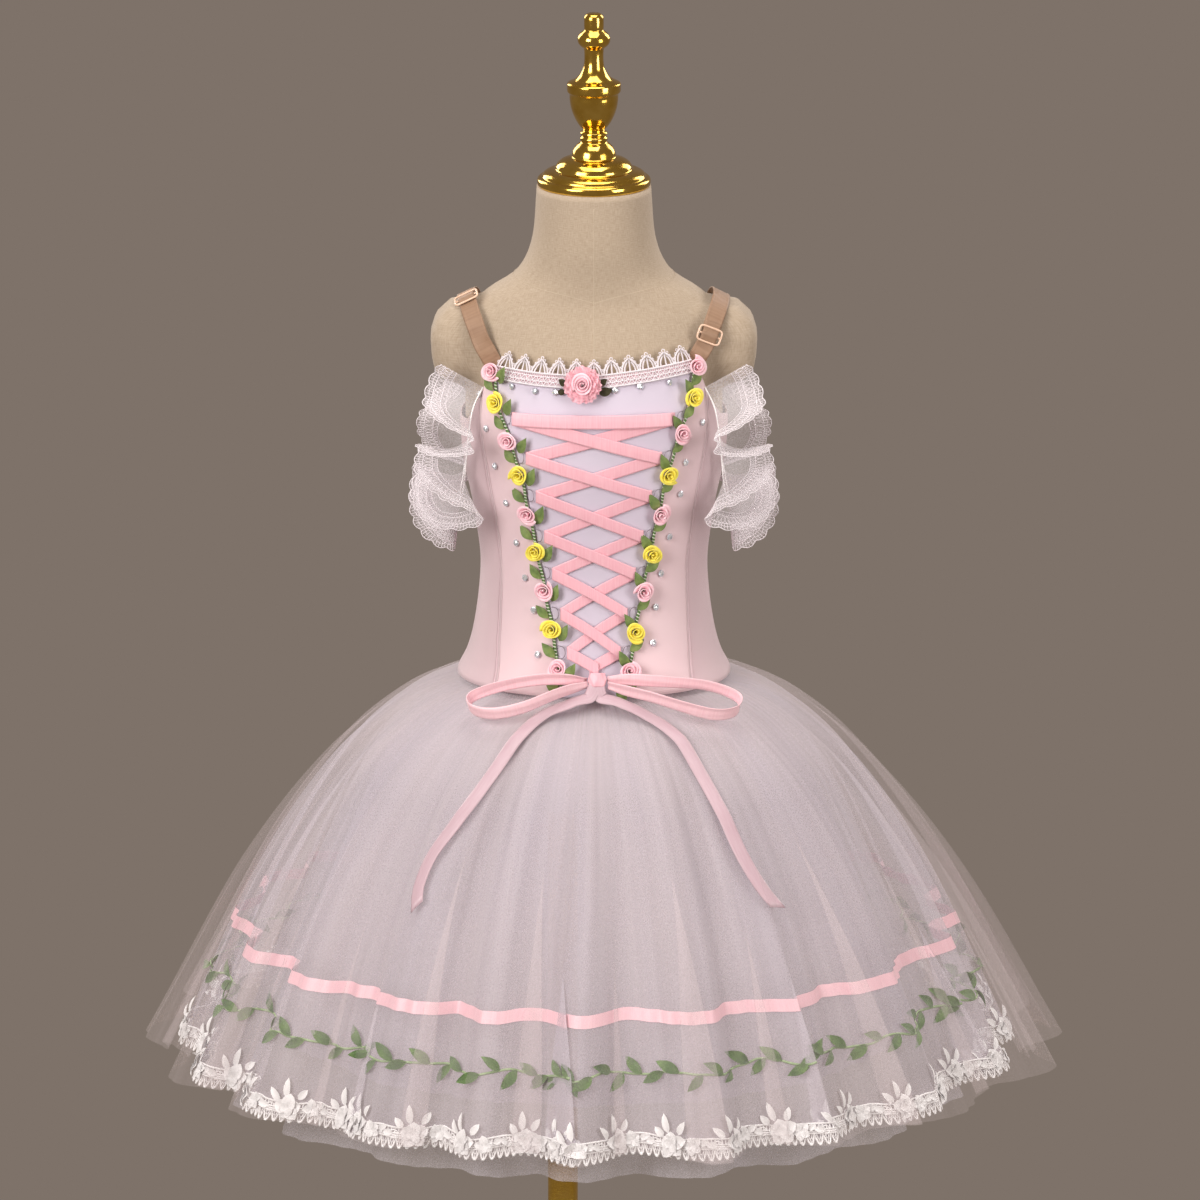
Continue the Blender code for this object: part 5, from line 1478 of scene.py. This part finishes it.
# %% Sleeves
SLEEVE_ROUTE = np.array([  # x, y, height on the right side, then the way that the lace falls
    (.0900, -.0449, .8510, .85, -.30, .25), (.0985, -.0530, .8330, .80, -.50, -.05),
    (.1030, -.0510, .8000, .70, -.50, -.45), (.1060, -.0390, .7660, .70, -.43, -.55),
    (.1095, -.0130, .7480, .88, -.15, -.42), (.1095, .0130, .7480, .88, .15, -.42),
    (.1060, .0390, .7660, .70, .43, -.55), (.1030, .0540, .7980, .70, .50, -.40),
    (.0894, .0478, .8250, .70, .50, -.40),
])
SLEEVE_DEPTH, SLEEVE_WAVES, SLEEVE_SWING = 0.0420, 5, 62.0
SLEEVE_EASE = (8.0, 4.0)  # how fast the swing grows from the front end and from the back end
sleeve_table = smooth_rows(SLEEVE_ROUTE, 600)


def sleeve_row(u, columns=(0, 1, 2)):
    """Columns of the smoothed route at a share of its length."""
    even = np.linspace(0, 1, len(sleeve_table))
    return np.stack([np.interp(u, even, sleeve_table[:, k]) for k in columns], -1)


def sleeve_point(u, v):
    """The falling lace: from a point of the loop, its depth swings to and fro along it."""
    line = sleeve_row(u)
    reach = unit(sleeve_row(u, (3, 4, 5)))
    ahead = unit(sleeve_row(np.clip(u + 0.01, 0, 1)) - sleeve_row(np.clip(u - 0.01, 0, 1)))
    reach = unit(reach - ahead * (reach * ahead).sum(-1, keepdims=True))
    beside = np.cross(ahead, reach)
    ease = np.clip(np.minimum(u * SLEEVE_EASE[0], (1 - u) * SLEEVE_EASE[1]), 0, 1)
    swing = -SLEEVE_SWING * np.sin(2 * np.pi * SLEEVE_WAVES * u)
    small = 7 * np.sin(2 * np.pi * 17 * u + 1.3) + 4 * np.sin(2 * np.pi * 31 * u)
    swing = np.radians(swing + small * v**1.5) * ease
    sway = 0.0016 * v**2 * np.sin(2 * np.pi * 11 * u + 0.6) * ease
    sag = 0.0016 * np.sin(np.pi * v) * np.cos(2 * np.pi * SLEEVE_WAVES * u)
    down = (v * SLEEVE_DEPTH)[..., None]
    fall = reach * np.cos(swing)[..., None] + beside * np.sin(swing)[..., None]
    return line + fall * down + ahead * sway[..., None] + reach * sag[..., None]


EDGE_U = np.linspace(0, 1, 1500)
edge = sleeve_point(EDGE_U, np.full(1500, 0.85))
edge_along = way_along(edge)
SLEEVE_EDGE = edge_along[-1]


def on_sleeve(flip):
    """A carrier for cords: along the lace's edge and across it, on the left or right sleeve."""
    def carried(s, t, lift):
        u, v = np.interp(s, edge_along, EDGE_U), np.clip(t / SLEEVE_DEPTH, 0, 1.03)
        point = sleeve_point(u, v)
        a = sleeve_point(u + 5e-4, v) - sleeve_point(u - 5e-4, v)
        b = sleeve_point(u, v + 5e-3) - sleeve_point(u, v - 5e-3)
        out = unit(np.cross(a, b))
        return (point + out * lift) * flip, out * flip
    return carried


PITCH = 0.0112
count = int(SLEEVE_EDGE / PITCH)
RIM = SLEEVE_DEPTH - 0.0022  # how far down the lace its outermost cord lies
whole = np.linspace(0, count * PITCH, 900)


def level_cord(t, wide, bow=0.0, waves_in=1.0):
    """A bold cord along the lace, which may bow at every scallop."""
    line = np.stack([whole, t + bow * np.abs(np.sin(np.pi * whole / PITCH * waves_in))], -1)
    return line[None], wide


sleeve_lines = [
    level_cord(RIM, 0.0011, 0.0022), level_cord(RIM - 0.0030, 0.0007, 0.0018),
    level_cord(RIM - 0.0044, 0.0010), level_cord(RIM - 0.0122, 0.0009, 0.0006, 0.5),
    level_cord(RIM - 0.0160, 0.0007),
]
scallop = []
for step in range(5):
    x = (step + 0.5) / 5 * PITCH
    bow = 0.0022 * np.sin(np.pi * x / PITCH)
    scallop.append((arc(x, RIM - 0.0044, x, RIM + bow, 0, 3), 0.0006))
for step in range(3):
    scallop.append((oval((step + 0.5) / 3 * PITCH, RIM - 0.0083, 0.0015, 0.0034), 0.0007))
for step in range(4):
    x, nudge = step / 4 * PITCH, PITCH / 8
    line = np.array([(x, RIM - 0.0122), (x + nudge, RIM - 0.0160), (x + 2 * nudge, RIM - 0.0122)])
    scallop.append((line, 0.0006))
sleeve_lines += repeated(scallop, PITCH, count)
SLEEVE_NET = sheer("sleeve net", (226, 221, 224), (218, 212, 217), 0.26, 0.42, (420, 420, 1))
SLEEVE_CORD_SHARE = 0.85  # how wide the sleeves' cords are, against the pattern's


def lace_sleeve(hand, flip):
    """One sleeve: the net, its worked cords and the elastic that it is gathered on."""
    u, v = np.meshgrid(np.linspace(0, 1, 720), np.linspace(0, 0.965, 15))
    grid = sleeve_point(u, v) * flip
    if hand == "left":
        grid = grid[:, ::-1]
    cords = lace_cords(f"sleeve_cords_{hand}", on_sleeve(flip),
                       [(lines, wide * SLEEVE_CORD_SHARE, 0.0007, 0.0)
                        for lines, wide in sleeve_lines],
                       SOFT_LACE)
    net = grid_piece(f"sleeve_net_{hand}", grid, SLEEVE_NET)
    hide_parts(f"sleeve_lace_{hand}")
    line = sleeve_point(np.linspace(0, 1, 200), np.zeros(200)) * flip
    facing = np.broadcast_to((0.0, 0.0, 1.0), line.shape)
    elastic = closed_tubes(f"sleeve_elastic_{hand}", line[None], facing[None], 0.0014, 0.0012,
                           LACE, 6)


lace_sleeve("right", np.ones(3))
lace_sleeve("left", MIRROR)
print("sleeve edge", round(float(SLEEVE_EDGE), 3), "m")

# %% [markdown]
# ## The four layers of the skirt
# Each layer is one open sheet of tulle, gathered into the waist. Its cover is a share of the
# light it stops: the threads of one ply stop little, and folds and gathers stop more because
# a ray meets more plies. Near the waist, the gathers are too close to draw one by one, so
# the finish thickens there.

# %% Tulle
TULLE = sheer("blush tulle", (220, 211, 216), (213, 207, 219), 0.28, 0.42, (46.0, 1.6, 1.0),
              waist=0.34)
OVERLAY_TULLE = sheer("overlay tulle", (224, 210, 210), (218, 206, 209), 0.08, 0.17,
                      (60.0, 1.6, 1.0), waist=0.26)
NET = sheer("petticoat net", (218, 212, 217), (210, 205, 215), 0.27, 0.40, (50.0, 2.0, 1.0),
            waist=0.3)
LILAC_TULLE = sheer("lilac tulle", (202, 194, 210), (207, 196, 206), 0.52, 0.70,
                    (60.0, 2.5, 1.0), waist=0.3)
COLUMNS = 840


def skirt_layer(name, shape, rows, finish_used, covered, columns=COLUMNS):
    """One gathered layer, from the waist to the hem."""
    turn = np.linspace(-np.pi, np.pi, columns, endpoint=False)[None, :]
    way = np.linspace(0, 1, rows)[:, None]
    grid = shape(turn + 0 * way, way + 0 * turn)
    down = np.linalg.norm(np.diff(grid, axis=0), axis=-1).mean(1)
    uv = spread_uv(way_along(wrapped(grid)[-1]), add_up(down))
    made = grid_piece(name, grid, finish_used, around=True, uv=uv)
    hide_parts(covered)
    return made, grid


overlay, overlay_cloth = skirt_layer("tulle_overlay", overlay_point, 42, OVERLAY_TULLE,
                                     "skirt_overlay")
trimmed, trimmed_cloth = skirt_layer("tulle_trimmed", trimmed_point, 44, TULLE,
                                     "skirt_trimmed")
net, net_cloth = skirt_layer("tulle_net", net_point, 36, NET, "skirt_net", 720)
inner, inner_cloth = skirt_layer("tulle_inner", inner_point, 32, LILAC_TULLE, "skirt_inner",
                                 720)

# %% [markdown]
# ## Trims on the second tulle
# A satin ribbon, a leaf vine and a guipure lace edge are sewn to the second tulle, so they
# turn with its every fold. They are laid in a plane of distance round the hem and distance
# above it, and the tulle carries them.

# %% Carrying surface
HEM_TURN = np.linspace(-np.pi, np.pi, 6001)
hem = trimmed_point(HEM_TURN, np.full(6001, 0.97), plain=True)
HEM_ALONG = way_along(hem)
HEM_LENGTH = float(HEM_ALONG[-1])


def on_tulle(s, t, lift):
    """From distance round the hem and above it to the second tulle, lifted off outwards."""
    turn = np.interp(np.mod(s, HEM_LENGTH), HEM_ALONG, HEM_TURN)
    way = 1 - t / SKIRT_LENGTH
    inside = np.minimum(way, 1.0)
    point = trimmed_point(turn, inside)
    a = trimmed_point(turn + 2e-3, inside) - trimmed_point(turn - 2e-3, inside)
    b = trimmed_point(turn, inside) - trimmed_point(turn, inside - 4e-3)
    out = unit(np.cross(b, a))
    beyond = (way - inside)[..., None] * SKIRT_LENGTH * unit(b)
    return point + beyond + out * np.asarray(lift)[..., None], out


print("hem length", round(HEM_LENGTH, 3))

# %% Ribbon on the tulle
RIBBON_TOP, RIBBON_FOOT = 0.1155, 0.1050  # above the hem
s, t = np.meshgrid(np.linspace(0, HEM_LENGTH, 1600, endpoint=False),
                   np.linspace(RIBBON_TOP, RIBBON_FOOT, 5))
grid = on_tulle(s, t, 0.0006)[0]
SATIN_HEM = satin("hem satin", (247, 204, 213), (241, 190, 201))
hem_ribbon = grid_piece("hem_ribbon", grid, SATIN_HEM, around=True)
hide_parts("skirt_ribbon")

# %% Leaf vine on the tulle
VINE_LEVEL = 0.0640


def vine_level(s):
    """Height of the vine above the hem: a slow wave with a small quick one."""
    return VINE_LEVEL + 0.0024 * np.sin(s * 2 * np.pi / 0.085) + 0.0008 * np.sin(s * 110)


s = np.linspace(0, HEM_LENGTH, 1400, endpoint=False)
point, out = on_tulle(s, vine_level(s), 0.0010)
rings = tubes(np.concatenate([point, point[:1]])[None], np.concatenate([out, out[:1]])[None],
              0.0020, 0.0012, 6)[0][:-1]
HEM_STEM = finish("hem stem", (150, 176, 126), 0.6)
worked(HEM_STEM, grain(HEM_STEM, (1.0, 90.0, 1.0)), (178, 198, 156), (128, 156, 104), 0.0002)
stem = grid_piece("hem_vine_stem", rings, HEM_STEM, around=True)
mend(stem, bmesh.ops.bridge_loops)
LEAF_STEP = 0.0180
count = int(HEM_LENGTH / LEAF_STEP)
index = np.arange(count)
s = (index + 0.12 * np.sin(index * 2.3)) * HEM_LENGTH / count
side = np.where(index % 2, 1.0, -1.0)
level = vine_level(s)
roots, facing = on_tulle(s, level, 0.0016)
lean = np.radians(32 + 12 * np.sin(index * 1.7))
tips = on_tulle(s - 0.004 * np.cos(lean), level + side * 0.004 * np.sin(lean), 0.0019)[0]
size = 0.0205 + 0.0018 * np.sin(index * 2.9)
grids = leaf_grids(roots, tips - roots, facing, size, size * 0.43, 5, 8, blunt=0.9)
HEM_LEAF = leaf_satin("hem leaf satin", (138, 168, 108), (128, 168, 88), (80, 122, 54), 70.0)
bump(HEM_LEAF, stripes(HEM_LEAF, (1.0, 9.0, 1.0), "DIAGONAL", scale=3.0), 0.0002)
hem_leaves = many("hem_vine_leaves", grids, HEM_LEAF)
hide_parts("skirt_vine")

# %% [markdown]
# ## The guipure hem lace
# Guipure has no net: cords and solid petals only. Two cords with bars between them make the
# ladder, small looped fans hang from it, and a raised flower under three tall leaves comes
# round at every repeat.

# %% Guipure
REPEATS = int(round(HEM_LENGTH / 0.053))
REPEAT = HEM_LENGTH / REPEATS
whole = np.linspace(0, HEM_LENGTH, REPEATS * 40)
bow = 0.0010 * np.cos(whole * 2 * np.pi / REPEAT)
lines = [(np.stack([whole, level + bow], -1)[None], wide) for level, wide in (
    (0.0122, 0.0017), (0.0076, 0.0017), (0.0058, 0.0018), (0.0042, 0.0016))]
once = []
BARS = 17
for bar in range(BARS):
    x = (bar + 0.5) / BARS * REPEAT
    lift = 0.0010 * np.cos(2 * np.pi * (bar + 0.5) / BARS)
    once.append((arc(x, 0.0076 + lift, x, 0.0122 + lift, 0, 3), 0.0013))
FANS = 8
fan = REPEAT / FANS
for step in range(FANS):
    x = step * fan
    once.append((arc(x, 0.0046, x + fan, 0.0046, -0.0092, 8), 0.0016))
    once.append((arc(x + 0.0016, 0.0044, x + fan - 0.0016, 0.0044, -0.0044, 5), 0.0010))
    for spoke in (0.25, 0.5, 0.75):
        foot = 0.0046 - 0.0086 * np.sin(np.pi * spoke)
        top = 0.0046 - 0.0040 * np.sin(np.pi * spoke)
        once.append((arc(x + fan * spoke, top, x + fan * spoke, foot, 0, 3), 0.0009))
for x, y, size in ((0.0, 0.0078, 0.0058), (0.0165, 0.0078, 0.0042), (-0.0165, 0.0072, 0.0036)):
    once.append((oval(REPEAT / 2 + x, y, size, size, 8), 0.0013))
lines += repeated(once, REPEAT, REPEATS)
guipure = lace_cords("hem_lace_cords", on_tulle,
                     [(line, wide, 0.0011, 0.0012) for line, wide in lines], LACE)

# One flower: petals and leaves by their root, direction, length and width, in the plane
MOTIF = np.array([  # along, above, direction in degrees, length, width, lift
    (.0000, .0070, 20, .0118, .0116, .0020), (.0000, .0070, 92, .0112, .0116, .0024),
    (.0000, .0070, 164, .0118, .0116, .0020), (.0000, .0070, 236, .0112, .0112, .0022),
    (.0000, .0070, 308, .0112, .0112, .0022), (.0000, .0070, 56, .0070, .0074, .0038),
    (.0000, .0070, 176, .0070, .0074, .0038), (.0000, .0070, 296, .0070, .0074, .0038),
    (-.0040, .0150, 98, .0165, .0060, .0014), (-.0095, .0120, 130, .0125, .0060, .0016),
    (.0050, .0150, 60, .0120, .0060, .0016), (.0165, .0070, 36, .0078, .0074, .0020),
    (.0165, .0070, 108, .0078, .0074, .0022), (.0165, .0070, 180, .0078, .0074, .0020),
    (.0165, .0070, 252, .0078, .0074, .0022), (.0165, .0070, 324, .0078, .0074, .0022),
    (-.0170, .0075, 168, .0095, .0060, .0016), (.0225, .0085, 22, .0085, .0056, .0016),
])
shift = REPEAT * np.arange(REPEATS)[:, None] + REPEAT / 2
angle = np.radians(MOTIF[:, 2])[None] + 0.12 * np.sin(7.0 * np.arange(REPEATS))[:, None]
s, t = shift + MOTIF[None, :, 0], MOTIF[None, :, 1] + 0 * shift
lift = MOTIF[None, :, 5] + 0 * shift
roots, facing = on_tulle(s, t, lift)
tips = on_tulle(s + 0.004 * np.cos(angle), t + 0.004 * np.sin(angle), lift + 0.0006)[0]
roots, ahead, facing = (v.reshape(-1, 3) for v in (roots, tips - roots, facing))
uneven = 1 + 0.14 * np.sin(3.1 * np.arange(REPEATS)[:, None] + 1.7 * np.arange(len(MOTIF)))
size = (MOTIF[:, 3] * uneven).ravel()
width = np.broadcast_to(MOTIF[:, 4], s.shape).ravel()
grids = leaf_grids(roots, ahead, facing, size, width, 5, 6, fold=0.30, droop=0.08, blunt=0.6)
PETAL = finish("guipure petal", (253, 251, 251), 0.8, Sheen_Weight=0.25)
thread = stripes(PETAL, (8.0, 8.0, 1.0), "X", 1.0)
worked(PETAL, thread, (255, 255, 255), (247, 245, 246), 0.0002, 0.6)
flowers = many("hem_lace_flowers", grids, PETAL)
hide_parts("skirt_lace")
print("hem repeats", REPEATS)

# %% [markdown]
# ## The bow
# Two loops and a knot of the same satin as the lacing. Each loop stands on its edge, bows
# over the basque, and twists a little at its bend, as a soft ribbon does.

# %% Bow
LOOP_ROUTE = np.array([
    (.0083, -.0915, .6170), (.0250, -.1005, .6200), (.0500, -.1040, .6205),
    (.0750, -.1010, .6165), (.0950, -.0970, .6085), (.1045, -.0985, .6018),
    (.1010, -.1090, .5965), (.0850, -.1180, .5968), (.0600, -.1190, .6030),
    (.0350, -.1110, .6100), (.0083, -.0960, .6150),
])
BOW_X, STRETCH = 0.0029, 1.12
KNOT_HEIGHT, KNOT_LIFT = 0.6150, 0.0094
KNOT_HALF_SIZES = (0.0072, 0.0056, 0.0040)  # across, up, out


def bow_loop(side, hand):
    """One loop of the bow; the right one is longer."""
    centre = smooth_rows(LOOP_ROUTE, 90)
    stretch = STRETCH if side > 0 else 1.0
    centre[:, 0] = BOW_X + side * (centre[0, 0] + (centre[:, 0] - centre[0, 0]) * stretch)
    part = np.linspace(0, 1, 90)[:, None]
    centre[:, 2:] += 0.0008 * np.sin(part * 17 + side)
    upright = unit(np.array([0.0, -0.35, 0.94]) + 0.25 * np.sin(np.pi * part) * (side, 0, 0)
                   + 0.10 * np.sin(part * 13) * (0, 1, 0))
    ahead = unit(np.gradient(centre, axis=0))
    out = unit(np.cross(ahead, upright))
    pinch = 1 - 0.35 * (np.exp(-(part / 0.05) ** 2) + np.exp(-((1 - part) / 0.05) ** 2))
    way = np.linspace(1, -1, RIBBON_COLUMNS)[:, None, None]
    cup = 0.0008 * (1 - way**2) + 0.0003 * np.sin(way * 5 + part * 9)
    grid = centre + upright * way * SATIN_WIDTH / 2 * pinch + out * cup
    # Painted light: the loop takes the lighter copy of the pink satin.
    loop = grid_piece(f"bow_ribbon_loop_{hand}", grid, LIT_LOOP_SATIN)
    add_wall(loop)
    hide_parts(f"bow_loop_{hand}")
    return loop, grid


loops = [bow_loop(side, hand) for side, hand in HANDS]
axes = axes_at(KNOT_TURN, KNOT_HEIGHT)
seat = bodice_point(KNOT_TURN, KNOT_HEIGHT) + axes[2] * KNOT_LIFT
theta = np.linspace(0, 2 * np.pi, 64, endpoint=False)[None, :]
along = np.linspace(-1, 1, 25)[:, None]
belly = 1 - 0.16 * along**2
pleat = 1 + 0.05 * np.sin(5 * theta + 2 * along) + 0.03 * np.sin(9 * theta - 3 * along)
half_across, half_up, half_out = KNOT_HALF_SIZES
ring = placed(seat, axes, half_across * np.cos(theta) * pleat * belly,
              along * half_up + 0 * theta, half_out * np.sin(theta) * pleat * belly)
cap_top, cap_low = ring[:1].mean(1, keepdims=True), ring[-1:].mean(1, keepdims=True)
cover = np.concatenate([np.repeat(cap_top, 64, 1), ring, np.repeat(cap_low, 64, 1)])
knot = grid_piece("bow_ribbon_knot", cover, SATIN_PINK, around=True)
mend(knot)
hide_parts("bow_knot")

# %% [markdown]
# ## Floor and light
# A pale disc under the stand, a warm grey room, and large soft lamps to the sides. Tulle
# needs many see-through steps, so the limit on those is raised.

# %% Stage
FLOOR_RADIUS = 0.38
FLOOR = finish("floor", (214, 208, 200), 0.9)
angle = np.linspace(0, 2 * np.pi, 128, endpoint=False)
disc = around(angle, np.full(128, FLOOR_RADIUS), 0.0)
floor = piece("floor", disc - (FORM_X, 0, 0.0002), [list(range(128))], FLOOR, smooth=False)
world = bpy.data.worlds.new("room")
bpy.context.scene.world = world
world.use_nodes = True
world.node_tree.nodes["Background"].inputs[0].default_value = tint(126, 114, 105)
world.node_tree.nodes["Background"].inputs[1].default_value = 1.0
bpy.context.scene.view_settings.view_transform = "Standard"
bpy.context.scene.cycles.transparent_max_bounces = 64


CENTRE = Vector((FORM_X, 0.0, 0.7))
LAMP_COLOUR = (255, 250, 247)


def lamp(name, spot, wide, tall, power):
    """A soft rectangular lamp that faces the garment."""
    data = bpy.data.lights.new(name, "AREA")
    data.shape = "RECTANGLE"
    data.size, data.size_y = wide, tall
    data.energy = power
    data.color = tint(*LAMP_COLOUR)[:3]
    made = bpy.data.objects.new(name, data)
    made.location = spot
    made.rotation_euler = (CENTRE - Vector(spot)).to_track_quat("-Z", "Y").to_euler()
    bpy.context.scene.collection.objects.link(made)


lamp("key", (-2.0, -2.4, 2.0), 1.6, 2.0, 98.0)
lamp("fill", (2.4, -2.0, 1.3), 1.2, 2.0, 50.0)
lamp("back_left", (-1.8, 2.2, 1.8), 1.2, 1.8, 32.0)
lamp("back_right", (2.0, 2.0, 1.9), 1.2, 1.8, 32.0)
lamp("top", (0.0, -0.3, 3.0), 1.6, 1.6, 34.0)
print("lamps set")
